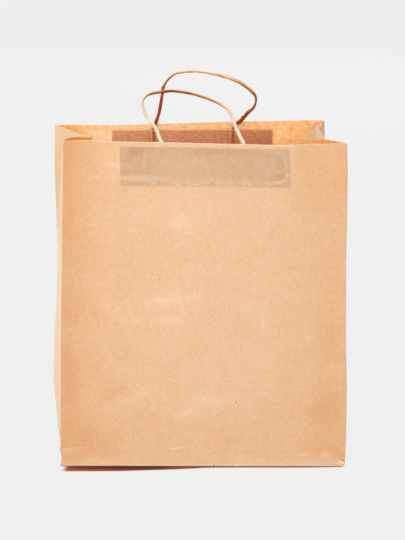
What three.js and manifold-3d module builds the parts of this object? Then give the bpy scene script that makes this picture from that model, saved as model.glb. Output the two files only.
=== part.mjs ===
// Brown kraft paper carrier bag with two twisted paper cord handles.
// Millimetres, +Z up. The origin is the centre of the base, on the surface the bag stands on.
// +X is to the right when the front panel is seen from outside; the front panel faces -Y.
import * as THREE from 'three';
import { mergeVertices } from 'three/addons/utils/BufferGeometryUtils.js';
import Module from 'manifold-3d';

// ---------------------------------------------------------------- driving dimensions
const WIDTH = 320;            // front and back panel width
const GUSSET = 200;           // full depth of the base and of each side gusset
const HEIGHT = 370;           // base fold to the straight-cut top edge, along the paper
const HALF_GUSSET = GUSSET / 2;
const SHEET_T = 0.2;          // thickness of the kraft sheet
const FLAP = 115;             // length of the front and back bottom flaps
const LAP_FROM = 180;         // glued side lap, measured across the right gusset from the front
const LAP_TO = 196;

const PATCH_W = 190;          // paper plies that hold each handle
const PATCH_H = 44;
const PATCH_T = 0.2;
const GLUE_GAP = 0.2;         // glue line between plies
const PATCH_FRONT = { s: 159.2, v: 342.3, tilt: THREE.MathUtils.degToRad(-0.4) };
const PATCH_BACK = { s: 162.7, v: 340.0, tilt: THREE.MathUtils.degToRad(1.05) };

const CORD_D = 3.8;           // twisted paper cord
const CORD_GLUED = 29;        // length of each cord end between the plies
const CORD_FRONT = [-47.2, 44.6];   // cord positions along a patch, from its centre
const CORD_BACK = [-46.6, 47.4];
const RIDGE_HALF = 7;         // half width of the ridge in the cover ply over a cord end

// ---------------------------------------------------------------- how the open bag stands
// base corners, top corners, gusset fold points
const V = (x, y, z) => new THREE.Vector3(x, y, z);
const RISE = 5;               // the front left corner of the base stands this far off the surface
const RISE_FRONT = 320;       // length of the front and left base edges that rise towards it
const RISE_SIDE = 126.5;
const DRAWN_IN = 3.5;         // the left base edge is drawn in this far at its middle
const BASE = {
  FL: V(-WIDTH / 2, -GUSSET / 2, RISE), FR: V(WIDTH / 2, -GUSSET / 2, 0),
  BL: V(-WIDTH / 2, GUSSET / 2, 0), BR: V(WIDTH / 2, GUSSET / 2, 0),
};
const TOP = {
  FL: V(-154.5, -84.1, 374.4), FR: V(162.8, -85.0, 369.4),
  BL: V(-163.4, 88.5, 367.6), BR: V(152.4, 93.5, 369.6),
};
const APEX = { L: V(-132.2, 2.3, 97.5), R: V(132.6, 0.1, 95.4) };        // where the gusset folds meet
const CREASE_TOP = { L: V(-121.1, 1.6, 365.9), R: V(117.1, 1.2, 362.4) };
// sideways set of each standing edge against its height along the paper
const EDGE_X = {
  FL: [[0, -1.7], [24, -1.3], [170, -1.5], [235, -0.9], [335, -0.4], [370, 0]],
  FR: [[0, 1.5], [12, 2.5], [24, 3.1], [73, 3.4], [100, 3.2], [135, 1.95], [200, 1.15], [235, 0.75], [300, 1.3], [335, 1.3], [362, 0.3], [370, -0.1]],
  BL: [[0, -2.6], [5, -3.1], [27, -4.75], [50, -7.0], [60, -7.4], [73, -7.0], [105, -5.8], [150, -2.6], [200, 0.3], [225, 0.8], [250, 0.1], [325, -1.3], [370, 0]],
  BR: [[0, 0], [47, 4.0], [105, 4.5], [200, 1.6], [370, 1.5]],
};
const BACK_Y = [[0, 0], [47, 4.5], [105, 6.0], [200, 2.0], [370, 0]];   // fold line across the back panel
// the top edge of each panel lies in a slow wave, which dies out towards the base fold
const WAVE_FRONT = [[0, 0], [31, -6], [66, 1.5], [112, 4.0], [158, 10], [203, 12.5], [240, 14], [268, 9], [320, 0]];
const WAVE_BACK = [[0, 0], [60, -2.8], [128, -5], [176, -0.3], [225, 4.3], [273, 2.6], [320, 0]];
// outward bow of the four gusset halves at the top edge, the lift of their top edge, and how the bow of three
// of them is shared out from the standing edge to the middle crease
const BOW = { LF: 7, LB: 3.5, RF: 5, RB: 3.1 };
const LIFT = { LF: 1.5, LB: 0, RF: 1.0, RB: 0 };
const SHARE = {
  RF: [[0, 0], [0.15, 0.26], [0.32, 0.62], [0.48, 0.98], [0.6, 1.0], [0.8, 0.66], [1, 0]],
  LB: [[0, 0], [0.13, -0.3], [0.28, -0.32], [0.4, -0.22], [0.54, 0.2], [0.68, 0.9], [0.8, 0.6], [1, 0]],
  RB: [[0, 0], [0.12, -0.05], [0.22, -0.12], [0.3, 0.3], [0.4, 0.75], [0.57, 1.0], [0.75, 0.9], [0.91, 0.38], [1, 0]],
};

// free run of each cord above the top edge
const FRONT_LOOP = [
  [-44.1, -85.3, 373.4], [-53.5, -89.3, 391.5], [-63.4, -93.1, 405.4], [-66.7, -96.8, 417.9], [-63.4, -99.7, 424.9],
  [-56.9, -101.8, 429.0], [-44.6, -103.8, 431.2], [-35.6, -104.9, 432.2], [-22.1, -105.7, 431.0], [-8.5, -105.9, 428.1],
  [7.2, -105.8, 423.0], [20.6, -105.1, 416.8], [29.4, -103.5, 409.8], [33.7, -100.2, 399.4], [37.2, -97.4, 389.8],
  [43.1, -94.6, 377.9], [46.6, -93.9, 371.6],
];
const BACK_LOOP = [
  [-45.9, 82.5, 368.8], [-42.2, 83.3, 378.8], [-39.6, 84.3, 390.7], [-37.4, 85.4, 403.7], [-36.2, 86.0, 410.9],
  [-31.4, 87.0, 419.2], [-22.8, 88.4, 426.5], [-13.0, 89.7, 429.4], [1.2, 91.3, 429.9], [15.4, 92.8, 428.3],
  [30.0, 94.0, 424.5], [44.5, 95.2, 419.9], [56.5, 96.1, 413.7], [66.2, 96.6, 406.3], [72.3, 96.8, 399.1],
  [73.2, 96.5, 393.1], [70.3, 95.7, 385.8], [62.2, 94.5, 378.0], [55.3, 93.4, 370.6], [49.3, 92.6, 366.6],
];

// ---------------------------------------------------------------- colours
const paint = (hex, roughness) => new THREE.MeshStandardMaterial({ color: hex, roughness, metalness: 0 });
const KRAFT = paint('#d9ae84', 0.85);
const PLY = paint('#b27a52', 0.85);
const CORD = paint('#d8b489', 0.8);

// ---------------------------------------------------------------- small helpers
const mix = (a, b, t) => a.clone().lerp(b, t);
function linear(table, x) {
  if (x <= table[0][0]) return table[0][1];
  for (let i = 1; i < table.length; i++) {
    if (x <= table[i][0]) {
      const t = (x - table[i - 1][0]) / (table[i][0] - table[i - 1][0]);
      return table[i - 1][1] + t * (table[i][1] - table[i - 1][1]);
    }
  }
  return table[table.length - 1][1];
}
// monotone cubic through a table
function smooth(table, x) {
  const n = table.length;
  const h = [], d = [], m = new Array(n).fill(0);
  for (let i = 0; i < n - 1; i++) {
    h.push(table[i + 1][0] - table[i][0]);
    d.push((table[i + 1][1] - table[i][1]) / h[i]);
  }
  for (let i = 1; i < n - 1; i++) {
    if (d[i - 1] * d[i] > 0) {
      const w1 = 2 * h[i] + h[i - 1], w2 = h[i] + 2 * h[i - 1];
      m[i] = (w1 + w2) / (w1 / d[i - 1] + w2 / d[i]);
    }
  }
  m[0] = d[0];
  m[n - 1] = d[n - 2];
  let i = 0;
  while (i < n - 2 && x > table[i + 1][0]) i++;
  const t = Math.min(1, Math.max(0, (x - table[i][0]) / h[i]));
  const t2 = t * t, t3 = t2 * t;
  return (2 * t3 - 3 * t2 + 1) * table[i][1] + (t3 - 2 * t2 + t) * h[i] * m[i]
    + (3 * t2 - 2 * t3) * table[i + 1][1] + (t3 - t2) * h[i] * m[i + 1];
}
const waveShare = (v) => Math.pow(v / HEIGHT, 1.15);

// ---------------------------------------------------------------- outer face of the bag
// s runs across a panel or gusset, v runs up the paper from the base fold
function standingEdge(corner, v) {
  const p = mix(BASE[corner], TOP[corner], v / HEIGHT);
  p.x += linear(EDGE_X[corner], v);
  if (corner[0] === 'B') p.y += linear(BACK_Y, v);
  return p;
}
function frontPoint(s, v) {
  const p = mix(standingEdge('FL', v), standingEdge('FR', v), s / WIDTH);
  const k = waveShare(v);
  p.y -= smooth(WAVE_FRONT, s) * k;
  p.z += (0.35 * Math.exp(-Math.pow((s - 31) / 16, 2)) - 0.6 * Math.exp(-Math.pow((s - 245) / 28, 2))) * k;
  p.z += RISE * (Math.max(0, 1 - s / RISE_FRONT) - (1 - s / WIDTH)) * (1 - v / HEIGHT);
  return p;
}
function backPoint(s, v) {
  const p = mix(standingEdge('BL', v), standingEdge('BR', v), s / WIDTH);
  p.y += smooth(WAVE_BACK, s) * waveShare(v);
  return p;
}
// one half of a gusset above the fold apex: from a standing edge to the middle crease
function gussetHalf(edge, crease, t, v, half, out) {
  const p = mix(edge, crease, t);
  const k = Math.pow((v - HALF_GUSSET) / (HEIGHT - HALF_GUSSET), 1.5);
  const hump = SHARE[half] ? smooth(SHARE[half], t) : 4 * t * (1 - t);
  const n = V(crease.y - edge.y, edge.x - crease.x, 0).normalize();
  if (n.x * out < 0) n.negate();
  p.addScaledVector(n, BOW[half] * hump * k);
  p.z += LIFT[half] * hump * k;
  return p;
}
// s is measured from the front standing edge of the gusset
function gussetPoint(side, s, v) {
  const out = side === 'L' ? -1 : 1;
  const front = standingEdge('F' + side, v), back = standingEdge('B' + side, v);
  const apex = APEX[side];
  if (v >= HALF_GUSSET) {
    const crease = mix(apex, CREASE_TOP[side], (v - HALF_GUSSET) / (HEIGHT - HALF_GUSSET));
    return s <= HALF_GUSSET
      ? gussetHalf(front, crease, s / HALF_GUSSET, v, side + 'F', out)
      : gussetHalf(back, crease, (GUSSET - s) / HALF_GUSSET, v, side + 'B', out);
  }
  // below the apex: two diagonal folds run down to the base corners
  const d1 = mix(standingEdge('F' + side, 0), apex, v / HALF_GUSSET);
  const d2 = mix(standingEdge('B' + side, 0), apex, v / HALF_GUSSET);
  if (s < v) return mix(front, d1, s / v);
  if (s > GUSSET - v) return mix(back, d2, (GUSSET - s) / v);
  const t = GUSSET - 2 * v > 1e-6 ? (s - v) / (GUSSET - 2 * v) : 0;
  const p = mix(d1, d2, t);
  if (side === 'L') {
    p.x += DRAWN_IN * 4 * t * (1 - t) * Math.pow(1 - v / HALF_GUSSET, 2);
    p.z += RISE * (Math.max(0, 1 - t * GUSSET / RISE_SIDE) - (1 - t)) * (1 - v / HALF_GUSSET);
  }
  return p;
}
// u runs once round the bag: front left to right, right gusset, back right to left, left gusset
const U_RIGHT = WIDTH, U_BACK = WIDTH + GUSSET, U_LEFT = 2 * WIDTH + GUSSET, U_END = 2 * (WIDTH + GUSSET);
function outerPoint(u, v) {
  if (u <= U_RIGHT) return frontPoint(u, v);
  if (u <= U_BACK) return gussetPoint('R', u - U_RIGHT, v);
  if (u <= U_LEFT) return backPoint(WIDTH - (u - U_BACK), v);
  return gussetPoint('L', U_END - u, v);
}

// ---------------------------------------------------------------- facet grid of the sheet
const FOLD_STEPS = [23.5, 47, 73.5, 100, 126.5, 153, 176.5];
const frontCols = [0, 31, 64.2, 88, 112, 135, 158.8, 182, 203.8, 230, 254.2, 285];
const backCols = [320, 288, 257.7, 232, 210.1, 185, 162.7, 138, 116.1, 91, 67.7, 33].map((s) => U_BACK + WIDTH - s);
const rightCols = [0, ...FOLD_STEPS, LAP_FROM - 0.2, LAP_FROM + 0.2, LAP_TO - 0.2, LAP_TO + 0.2].map((s) => U_RIGHT + s);
const leftCols = [200, ...FOLD_STEPS.slice().reverse()].map((s) => U_END - s);
const COLS = [...frontCols, ...rightCols, ...backCols, ...leftCols];
const ROWS = [0, 23.5, 47, 73.5, 100, 150, 200, 250, 300, 319, 341, 363, 370];
const NC = COLS.length, NR = ROWS.length;

// each facet quad is split so that the diagonal folds of the gussets follow facet edges
function splitForward(u) {
  if (u > U_RIGHT && u < U_BACK) return u - U_RIGHT < HALF_GUSSET;
  if (u > U_LEFT) return U_END - u > HALF_GUSSET;
  return true;
}
const nodes = ROWS.map((v) => COLS.map((u) => outerPoint(u, v)));
function gridTriangles() {
  const tris = [];
  for (let r = 0; r + 1 < NR; r++) {
    for (let c = 0; c < NC; c++) {
      const c2 = (c + 1) % NC;
      const mid = (COLS[c] + (c2 ? COLS[c2] : U_END)) / 2;
      const a = r * NC + c, b = r * NC + c2, d = (r + 1) * NC + c, e = (r + 1) * NC + c2;
      if (splitForward(mid)) tris.push([a, b, e], [a, e, d]);
      else tris.push([a, b, d], [b, e, d]);
    }
  }
  return tris;
}
const TRIS = gridTriangles();
const flat = nodes.flat();
const normals = flat.map(() => V(0, 0, 0));
for (const [i, j, k] of TRIS) {
  const n = flat[j].clone().sub(flat[i]).cross(flat[k].clone().sub(flat[i]));
  for (const q of [i, j, k]) normals[q].add(n);
}
normals.forEach((n) => n.normalize());

// point and outward normal on the faceted outer face
function onFacet(u, v) {
  let c = COLS.length - 1, r = NR - 2;
  for (let i = 0; i + 1 < NC; i++) if (u >= COLS[i] && u <= COLS[i + 1]) { c = i; break; }
  for (let i = 0; i + 1 < NR; i++) if (v >= ROWS[i] && v <= ROWS[i + 1]) { r = i; break; }
  const c2 = (c + 1) % NC, uEnd = c2 ? COLS[c2] : U_END;
  const x = (u - COLS[c]) / (uEnd - COLS[c]), y = (v - ROWS[r]) / (ROWS[r + 1] - ROWS[r]);
  const a = r * NC + c, b = r * NC + c2, d = (r + 1) * NC + c, e = (r + 1) * NC + c2;
  let w;
  if (splitForward((COLS[c] + uEnd) / 2)) w = x >= y ? [[a, 1 - x], [b, x - y], [e, y]] : [[a, 1 - y], [d, y - x], [e, x]];
  else w = x + y <= 1 ? [[a, 1 - x - y], [b, x], [d, y]] : [[b, 1 - y], [d, 1 - x], [e, x + y - 1]];
  const p = V(0, 0, 0), n = V(0, 0, 0);
  for (const [q, k] of w) { p.addScaledVector(flat[q], k); n.addScaledVector(normals[q], k); }
  return { p, n: n.normalize() };
}

// ---------------------------------------------------------------- closed sheets from grids
function closedSheet(outer, inner, wrap, forward) {
  const rows = outer.length, cols = outer[0].length;
  const pts = [...outer.flat(), ...inner.flat()];
  const off = rows * cols, index = [];
  const cells = wrap ? cols : cols - 1;
  for (let r = 0; r + 1 < rows; r++) {
    for (let c = 0; c < cells; c++) {
      const c2 = (c + 1) % cols;
      const a = r * cols + c, b = r * cols + c2, d = a + cols, e = b + cols;
      const set = forward(c) ? [[a, b, e], [a, e, d]] : [[a, b, d], [b, e, d]];
      for (const [i, j, k] of set) index.push(i, j, k, off + i, off + k, off + j);
    }
  }
  for (let c = 0; c < cells; c++) {
    const c2 = (c + 1) % cols, t = (rows - 1) * cols;
    index.push(c, off + c, c2, c2, off + c, off + c2);
    index.push(t + c, t + c2, off + t + c, t + c2, off + t + c2, off + t + c);
  }
  if (!wrap) {
    for (let r = 0; r + 1 < rows; r++) {
      const a = r * cols, d = a + cols, b = a + cols - 1, e = b + cols;
      index.push(a, d, off + a, d, off + d, off + a);
      index.push(b, off + b, e, e, off + b, off + e);
    }
  }
  const geometry = new THREE.BufferGeometry();
  geometry.setAttribute('position', new THREE.Float32BufferAttribute(pts.flatMap((p) => [p.x, p.y, p.z]), 3));
  geometry.setIndex(index);
  return geometry;
}

// ---------------------------------------------------------------- joining solids
const wasm = await Module();
wasm.setup();
function toSolid(geometry) {
  const g = geometry.clone();
  g.deleteAttribute('normal');
  g.deleteAttribute('uv');
  const m = mergeVertices(g, 1e-4);
  return new wasm.Manifold(new wasm.Mesh({
    numProp: 3,
    vertProperties: Float32Array.from(m.attributes.position.array),
    triVerts: Uint32Array.from(m.index.array),
  }));
}
function toGeometry(solid) {
  const m = solid.getMesh();
  const g = new THREE.BufferGeometry();
  const p = new Float32Array(m.numVert * 3);
  for (let i = 0; i < m.numVert; i++) for (let k = 0; k < 3; k++) p[3 * i + k] = m.vertProperties[m.numProp * i + k];
  g.setAttribute('position', new THREE.BufferAttribute(p, 3));
  g.setIndex(new THREE.BufferAttribute(Uint32Array.from(m.triVerts), 1));
  g.computeVertexNormals();
  return g;
}
// the base is flat but for its front left corner, which bends up along one straight line
const riseAt = (x, y) => RISE * (1 - (x + WIDTH / 2) / RISE_FRONT - (y + GUSSET / 2) / RISE_SIDE);
function clip(points, keep) {
  const out = [];
  points.forEach(([x, y], i) => {
    const [x2, y2] = points[(i + 1) % points.length];
    const a = keep * riseAt(x, y), b = keep * riseAt(x2, y2);
    if (a >= 0) out.push([x, y]);
    if (a * b < 0) { const t = a / (a - b); out.push([x + t * (x2 - x), y + t * (y2 - y)]); }
  });
  return out;
}
function plate(points, z0, z1) {
  let solid = null;
  for (const keep of [-1, 1]) {
    const part = clip(points, keep);
    if (part.length < 3) continue;
    const g = new THREE.ExtrudeGeometry(new THREE.Shape(part.map(([x, y]) => new THREE.Vector2(x, y))),
      { depth: z1 - z0, bevelEnabled: false });
    g.translate(0, 0, z0);
    const p = g.attributes.position;
    for (let i = 0; i < p.count; i++) p.setZ(i, p.getZ(i) + Math.max(0, riseAt(p.getX(i), p.getY(i))));
    const piece = toSolid(g);
    solid = solid ? solid.add(piece) : piece;
  }
  return solid;
}

// ---------------------------------------------------------------- bag body: one folded sheet
// walls: front, back and the two gussets, doubled along the glued side lap
function wallThickness(u) {
  const s = u - U_RIGHT;
  return s > LAP_FROM && s < LAP_TO ? 2 * SHEET_T : SHEET_T;
}
const innerNodes = nodes.map((row, r) => row.map((p, c) =>
  p.clone().addScaledVector(normals[r * NC + c], -wallThickness(COLS[c]))));
const forwardCell = (c) => splitForward((COLS[c] + (c + 1 < NC ? COLS[c + 1] : U_END)) / 2);
let body = toSolid(closedSheet(nodes, innerNodes, true, forwardCell));

// bottom: the side ends fold in first, then the front and back flaps close over them and are glued
const inset = 0.2;
const baseX0 = standingEdge('FL', 0).x + inset, baseX1 = standingEdge('FR', 0).x - inset - 0.5;
const baseY = GUSSET / 2 - 0.1;
const waist = WIDTH / 2 - HALF_GUSSET;
const overlap = FLAP - HALF_GUSSET;
const flaps = plate([[baseX0, -baseY], [baseX1, -baseY], [waist, 0], [baseX1, baseY], [baseX0, baseY], [-waist, 0]],
  0, SHEET_T * 1.5);
const leftEdge = FOLD_STEPS.slice().reverse().map((s) => {
  const p = gussetPoint('L', s, 0);
  return [p.x + inset, p.y];
});
const sideEnds = plate([[baseX0, -baseY], [baseX1, -baseY], [baseX1, baseY], [baseX0, baseY], ...leftEdge], SHEET_T, 2 * SHEET_T);
const flapLap = plate([[-waist, 0], [-waist + overlap, -overlap], [waist - overlap, -overlap], [waist, 0],
  [waist - overlap, overlap], [-waist + overlap, overlap]], SHEET_T * 1.5, 3 * SHEET_T);
body = body.add(sideEnds).add(flaps).add(flapLap);

// ---------------------------------------------------------------- handle patches
function patchFrame(spot, onBack) {
  const c = Math.cos(spot.tilt), k = Math.sin(spot.tilt);
  // (a, b): across and up the patch from its centre; depth: inwards from the outer face
  return (a, b, depth) => {
    const s = spot.s + a * c + b * k, v = spot.v + b * c - a * k;
    const f = onFacet(onBack ? U_BACK + WIDTH - s : s, v);
    return f.p.addScaledVector(f.n, -depth);
  };
}
const D_BASE = SHEET_T + GLUE_GAP;                       // near face of the base ply
const D_COVER = D_BASE + PATCH_T + GLUE_GAP;             // near face of the cover ply where it lies flat
const D_CORD = D_COVER + CORD_D / 2;                     // centre line of a glued cord end

const flatCols = [-95, -70.8, -23.8, 0, 23.2, 71.2, 95];
const ridgeProfile = [[-RIDGE_HALF, 0], [-2.9, 3.4], [-1.5, 4.15], [0, 4.35], [1.5, 4.15], [2.9, 3.4], [RIDGE_HALF, 0]];
const ridgeCols = (cords) => [...flatCols, ...cords.flatMap((at) => ridgeProfile.map(([d]) => at + d))].sort((p, q) => p - q);
const cordFoot = PATCH_H / 2 - CORD_GLUED;
const coverRows = [-PATCH_H / 2, cordFoot - 10, cordFoot - 2, 0, 11, PATCH_H / 2];
const ridgeHeight = (cords) => (a, b) => {
  let rise = 0;
  for (const at of cords) if (Math.abs(a - at) < RIDGE_HALF) rise = linear(ridgeProfile, a - at);
  const full = THREE.MathUtils.clamp((b - (cordFoot - 10)) / 8, 0, 1);
  return rise * full;
};
function ply(frame, cols, rows, near, rise, onBack) {
  const far = (a, b) => near + rise(a, b) + PATCH_T;
  const order = onBack ? cols.slice().reverse() : cols;
  const outer = rows.map((b) => order.map((a) => frame(a, b, near + rise(a, b))));
  const inner = rows.map((b) => order.map((a) => frame(a, b, far(a, b))));
  return closedSheet(outer, inner, false, () => true);
}

// ---------------------------------------------------------------- cords
function cordPath(frame, cords, loop) {
  const b0 = cordFoot, b1 = PATCH_H / 2;
  const end = (a) => [b0, b0 + 10, b0 + 20, b1].map((b) => frame(a, b, D_CORD));
  return new THREE.CatmullRomCurve3(
    [...end(cords[0]), ...loop.map((p) => V(...p)), ...end(cords[1]).reverse()], false, 'centripetal');
}
function cordGeometry(path) {
  const section = new THREE.Shape();
  for (let i = 0; i < 8; i++) {
    const a = (i / 8) * 2 * Math.PI, x = Math.cos(a) * CORD_D / 2, y = Math.sin(a) * CORD_D / 2;
    if (i) section.lineTo(x, y); else section.moveTo(x, y);
  }
  section.closePath();
  return new THREE.ExtrudeGeometry(section, { steps: 72, bevelEnabled: false, extrudePath: path });
}

// ---------------------------------------------------------------- assembly
const bag = new THREE.Group();
function addPiece(name, geometry, material) {
  const mesh = new THREE.Mesh(geometry, material);
  mesh.name = name;
  bag.add(mesh);
}
addPiece('bag_body', toGeometry(body), KRAFT);
for (const [side, spot, cords, loop] of [
  ['front', PATCH_FRONT, CORD_FRONT, FRONT_LOOP], ['back', PATCH_BACK, CORD_BACK, BACK_LOOP]]) {
  const onBack = side === 'back';
  const frame = patchFrame(spot, onBack);
  addPiece(side + '_patch_base', ply(frame, flatCols.concat(cords).sort((p, q) => p - q), coverRows, D_BASE, () => 0, onBack), PLY);
  addPiece(side + '_handle_cord', cordGeometry(cordPath(frame, cords, loop)), CORD);
  addPiece(side + '_patch_cover', ply(frame, ridgeCols(cords), coverRows, D_COVER, ridgeHeight(cords), onBack), PLY);
}

export default bag;
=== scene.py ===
"""Brown kraft paper carrier bag with two twisted paper cord handles, standing open on a pale floor."""
import math

import bpy
import numpy as np
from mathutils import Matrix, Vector


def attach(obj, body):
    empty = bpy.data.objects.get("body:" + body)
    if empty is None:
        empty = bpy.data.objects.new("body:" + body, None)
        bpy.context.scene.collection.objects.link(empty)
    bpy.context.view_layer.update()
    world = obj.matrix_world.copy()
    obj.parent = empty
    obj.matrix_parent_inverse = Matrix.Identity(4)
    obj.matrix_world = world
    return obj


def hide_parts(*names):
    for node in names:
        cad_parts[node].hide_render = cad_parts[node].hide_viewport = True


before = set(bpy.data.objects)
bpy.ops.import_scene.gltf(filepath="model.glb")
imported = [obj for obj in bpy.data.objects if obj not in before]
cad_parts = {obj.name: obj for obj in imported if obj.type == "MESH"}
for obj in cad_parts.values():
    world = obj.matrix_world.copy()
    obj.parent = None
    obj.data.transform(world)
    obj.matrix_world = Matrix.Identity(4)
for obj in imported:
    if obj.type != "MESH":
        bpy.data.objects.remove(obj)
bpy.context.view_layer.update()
MM = 0.001

# ------------------------------------------------------------------ camera
AIM = Vector((5.12, 0.0, 210.15)) * MM
DISTANCE, AZIMUTH, ELEVATION = 3.4294, math.radians(-2.9875), math.radians(10.9737)
BACK = Vector((math.sin(AZIMUTH) * math.cos(ELEVATION), -math.cos(AZIMUTH) * math.cos(ELEVATION), math.sin(ELEVATION)))
cam_data = bpy.data.cameras.new("camera")
cam_data.sensor_width = 36.0
cam_data.lens = 198.17
cam_data.clip_start, cam_data.clip_end = 0.05, 60.0
cam = bpy.data.objects.new("camera", cam_data)
cam.location = AIM + BACK * DISTANCE
cam.rotation_euler = (-BACK).to_track_quat("-Z", "Y").to_euler()
bpy.context.scene.collection.objects.link(cam)
bpy.context.scene.camera = cam

# ------------------------------------------------------------------ the sheet: how the open bag stands (mm)
W, G, H, HG = 320.0, 200.0, 370.0, 100.0
SHEET_T, FLAP = 0.2, 115.0
RISE, RISE_FRONT, RISE_SIDE = 5.0, 320.0, 126.5
DRAWN_IN = 3.5
U_RIGHT, U_BACK, U_LEFT, U_END = W, W + G, 2 * W + G, 2 * (W + G)


def vec(*c):
    return np.array(c, float)


BASE = {"FL": vec(-160, -100, RISE), "FR": vec(160, -100, 0), "BL": vec(-160, 100, 0), "BR": vec(160, 100, 0)}
TOP = {"FL": vec(-154.5, -84.1, 374.4), "FR": vec(162.8, -85.0, 369.4),
       "BL": vec(-163.4, 88.5, 367.6), "BR": vec(152.4, 93.5, 369.6)}
APEX = {"L": vec(-132.2, 2.3, 97.5), "R": vec(132.6, 0.1, 95.4)}
CREASE_TOP = {"L": vec(-121.1, 1.6, 365.9), "R": vec(117.1, 1.2, 362.4)}
EDGE_X = {
    "FL": [(0, -1.7), (4, -0.5), (7.5, 0.4), (10.5, 0.6), (14, -0.9), (17.5, -1.75), (21, -1.95), (24.5, -1.3), (170, -1.5), (235, -0.9), (335, -0.4), (370, 0)],
    "FR": [(0, 1.5), (5, 2.3), (6.3, 2.1), (12, 2.5), (24, 3.1), (73, 3.4), (100, 3.2), (135, 1.95), (200, 1.15), (235, 0.75), (300, 1.3), (335, 1.3), (362, 0.3), (370, -0.1)],
    "BL": [(0, -2.8), (5, -3.1), (12, -3.6), (27, -4.8), (50, -7.0), (60, -7.4), (73, -7.0), (105, -5.8), (150, -2.6), (200, 0.3), (225, 0.8), (250, 0.1), (325, -1.3), (370, 0)],
    "BR": [(0, 0), (47, 4.0), (105, 4.5), (200, 1.6), (370, 1.5)],
}
BACK_Y = [(0, 0), (47, 4.5), (105, 6.0), (200, 2.0), (370, 0)]
WAVE_FRONT = [(0, 0), (31, -6), (66, 1.5), (112, 4.0), (158, 10), (203, 12.5), (240, 14), (268, 9), (320, 0)]
WAVE_BACK = [(0, 0), (60, -2.8), (128, -5), (176, -0.3), (225, 4.3), (273, 2.6), (320, 0)]
RIM_BACK = [(0, 0), (30, 0.45), (46, -0.2), (63, -0.5), (80, -0.15), (100, 0), (130, 0.5), (163, 0.4), (180, 0.3), (246, 0), (263, 0.2), (280, 0.3), (297, 0.7), (320, 0.5)]
BOW = {"LF": 7.0, "LB": 3.5, "RF": 5.0, "RB": 3.1}
LIFT = {"LF": 1.5, "LB": 0.0, "RF": 1.0, "RB": 0.0}
FOLD_TOP, FOLD_LOW = 0.24, 349.0
SHARE = {
    "RF": [(0, 0), (0.15, 0.26), (0.32, 0.62), (0.48, 0.98), (0.6, 1.0), (0.8, 0.66), (1, 0)],
    "LB": [(0, 0), (0.13, -0.2), (0.28, -0.06), (0.4, 0.12), (0.5, 0.5), (0.6, 0.74), (0.68, 0.9), (0.8, 0.6), (1, 0)],
    "RB": [(0, 0), (0.4, 0.86), (0.62, 1.02), (0.75, 1.15), (0.82, 1.1), (0.91, 0.75), (0.96, 0.4), (1, 0)],
}


def table(rows, x):
    return np.interp(x, [a for a, _ in rows], [b for _, b in rows])


def smooth_table(rows, x):
    """Monotone cubic through the rows."""
    xs = np.array([a for a, _ in rows], float)
    ys = np.array([b for _, b in rows], float)
    h = np.diff(xs)
    d = np.diff(ys) / h
    m = np.zeros(len(xs))
    for i in range(1, len(xs) - 1):
        if d[i - 1] * d[i] > 0:
            w1, w2 = 2 * h[i] + h[i - 1], h[i] + 2 * h[i - 1]
            m[i] = (w1 + w2) / (w1 / d[i - 1] + w2 / d[i])
    m[0], m[-1] = d[0], d[-1]
    i = np.clip(np.searchsorted(xs, x, side="right") - 1, 0, len(xs) - 2)
    t = np.clip((x - xs[i]) / h[i], 0, 1)
    t2, t3 = t * t, t * t * t
    return ((2 * t3 - 3 * t2 + 1) * ys[i] + (t3 - 2 * t2 + t) * h[i] * m[i]
            + (3 * t2 - 2 * t3) * ys[i + 1] + (t3 - t2) * h[i] * m[i + 1])


def step(a, b, x):
    t = np.clip((x - a) / (b - a), 0, 1)
    return t * t * (3 - 2 * t)


def mix(a, b, t):
    return a + (b - a) * np.asarray(t)[..., None]


def rise_at(x, y):
    return np.clip(RISE * (1 - (x + W / 2) / RISE_FRONT - (y + G / 2) / RISE_SIDE), 0, None)


def standing_edge(corner, v):
    p = BASE[corner] + (TOP[corner] - BASE[corner]) * (v / H)[..., None]
    p[..., 0] += table(EDGE_X[corner], v)
    if corner[0] == "B":
        p[..., 1] += table(BACK_Y, v)
    return p


def wave_share(v):
    return (np.clip(v, 0, None) / H) ** 1.15


def front_point(s, v):
    p = mix(standing_edge("FL", v), standing_edge("FR", v), s / W)
    k = wave_share(v)
    p[..., 1] -= smooth_table(WAVE_FRONT, s) * k
    p[..., 2] += (0.35 * np.exp(-((s - 31) / 16) ** 2) - 0.6 * np.exp(-((s - 245) / 28) ** 2)) * k
    p[..., 2] += RISE * (np.clip(1 - s / RISE_FRONT, 0, None) - (1 - s / W)) * (1 - v / H)
    return p


def back_point(s, v):
    p = mix(standing_edge("BL", v), standing_edge("BR", v), s / W)
    p[..., 1] += smooth_table(WAVE_BACK, s) * wave_share(v)
    p[..., 2] += smooth_table(RIM_BACK, s) * step(300, 370, v)
    return p


def gusset_half(edge, crease, t, v, half, out):
    p = mix(edge, crease, t)
    k = np.clip((v - HG) / (H - HG), 0, None) ** 1.5
    hump = smooth_table(SHARE[half], t) if half in SHARE else 4 * t * (1 - t)
    if half == "RB":
        # a short crease runs from the rim down to the back right edge
        at = FOLD_TOP * np.clip((v - FOLD_LOW) / (H - FOLD_LOW), 0, 1)
        dip = -0.75 * at / FOLD_TOP
        past = np.sin(np.clip((t - at) / (0.62 - at), 0, 1) * math.pi / 2)
        near = np.where(t < at, dip * t / np.maximum(at, 1e-6), dip + (1.02 - dip) * past)
        hump = np.where(t < 0.62, near, hump)
    n = np.stack([crease[..., 1] - edge[..., 1], edge[..., 0] - crease[..., 0], 0 * t], -1)
    n /= np.linalg.norm(n, axis=-1, keepdims=True)
    n *= np.where(n[..., :1] * out < 0, -1, 1)
    p = p + n * (BOW[half] * hump * k)[..., None]
    p[..., 2] += LIFT[half] * hump * k
    return p


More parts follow.
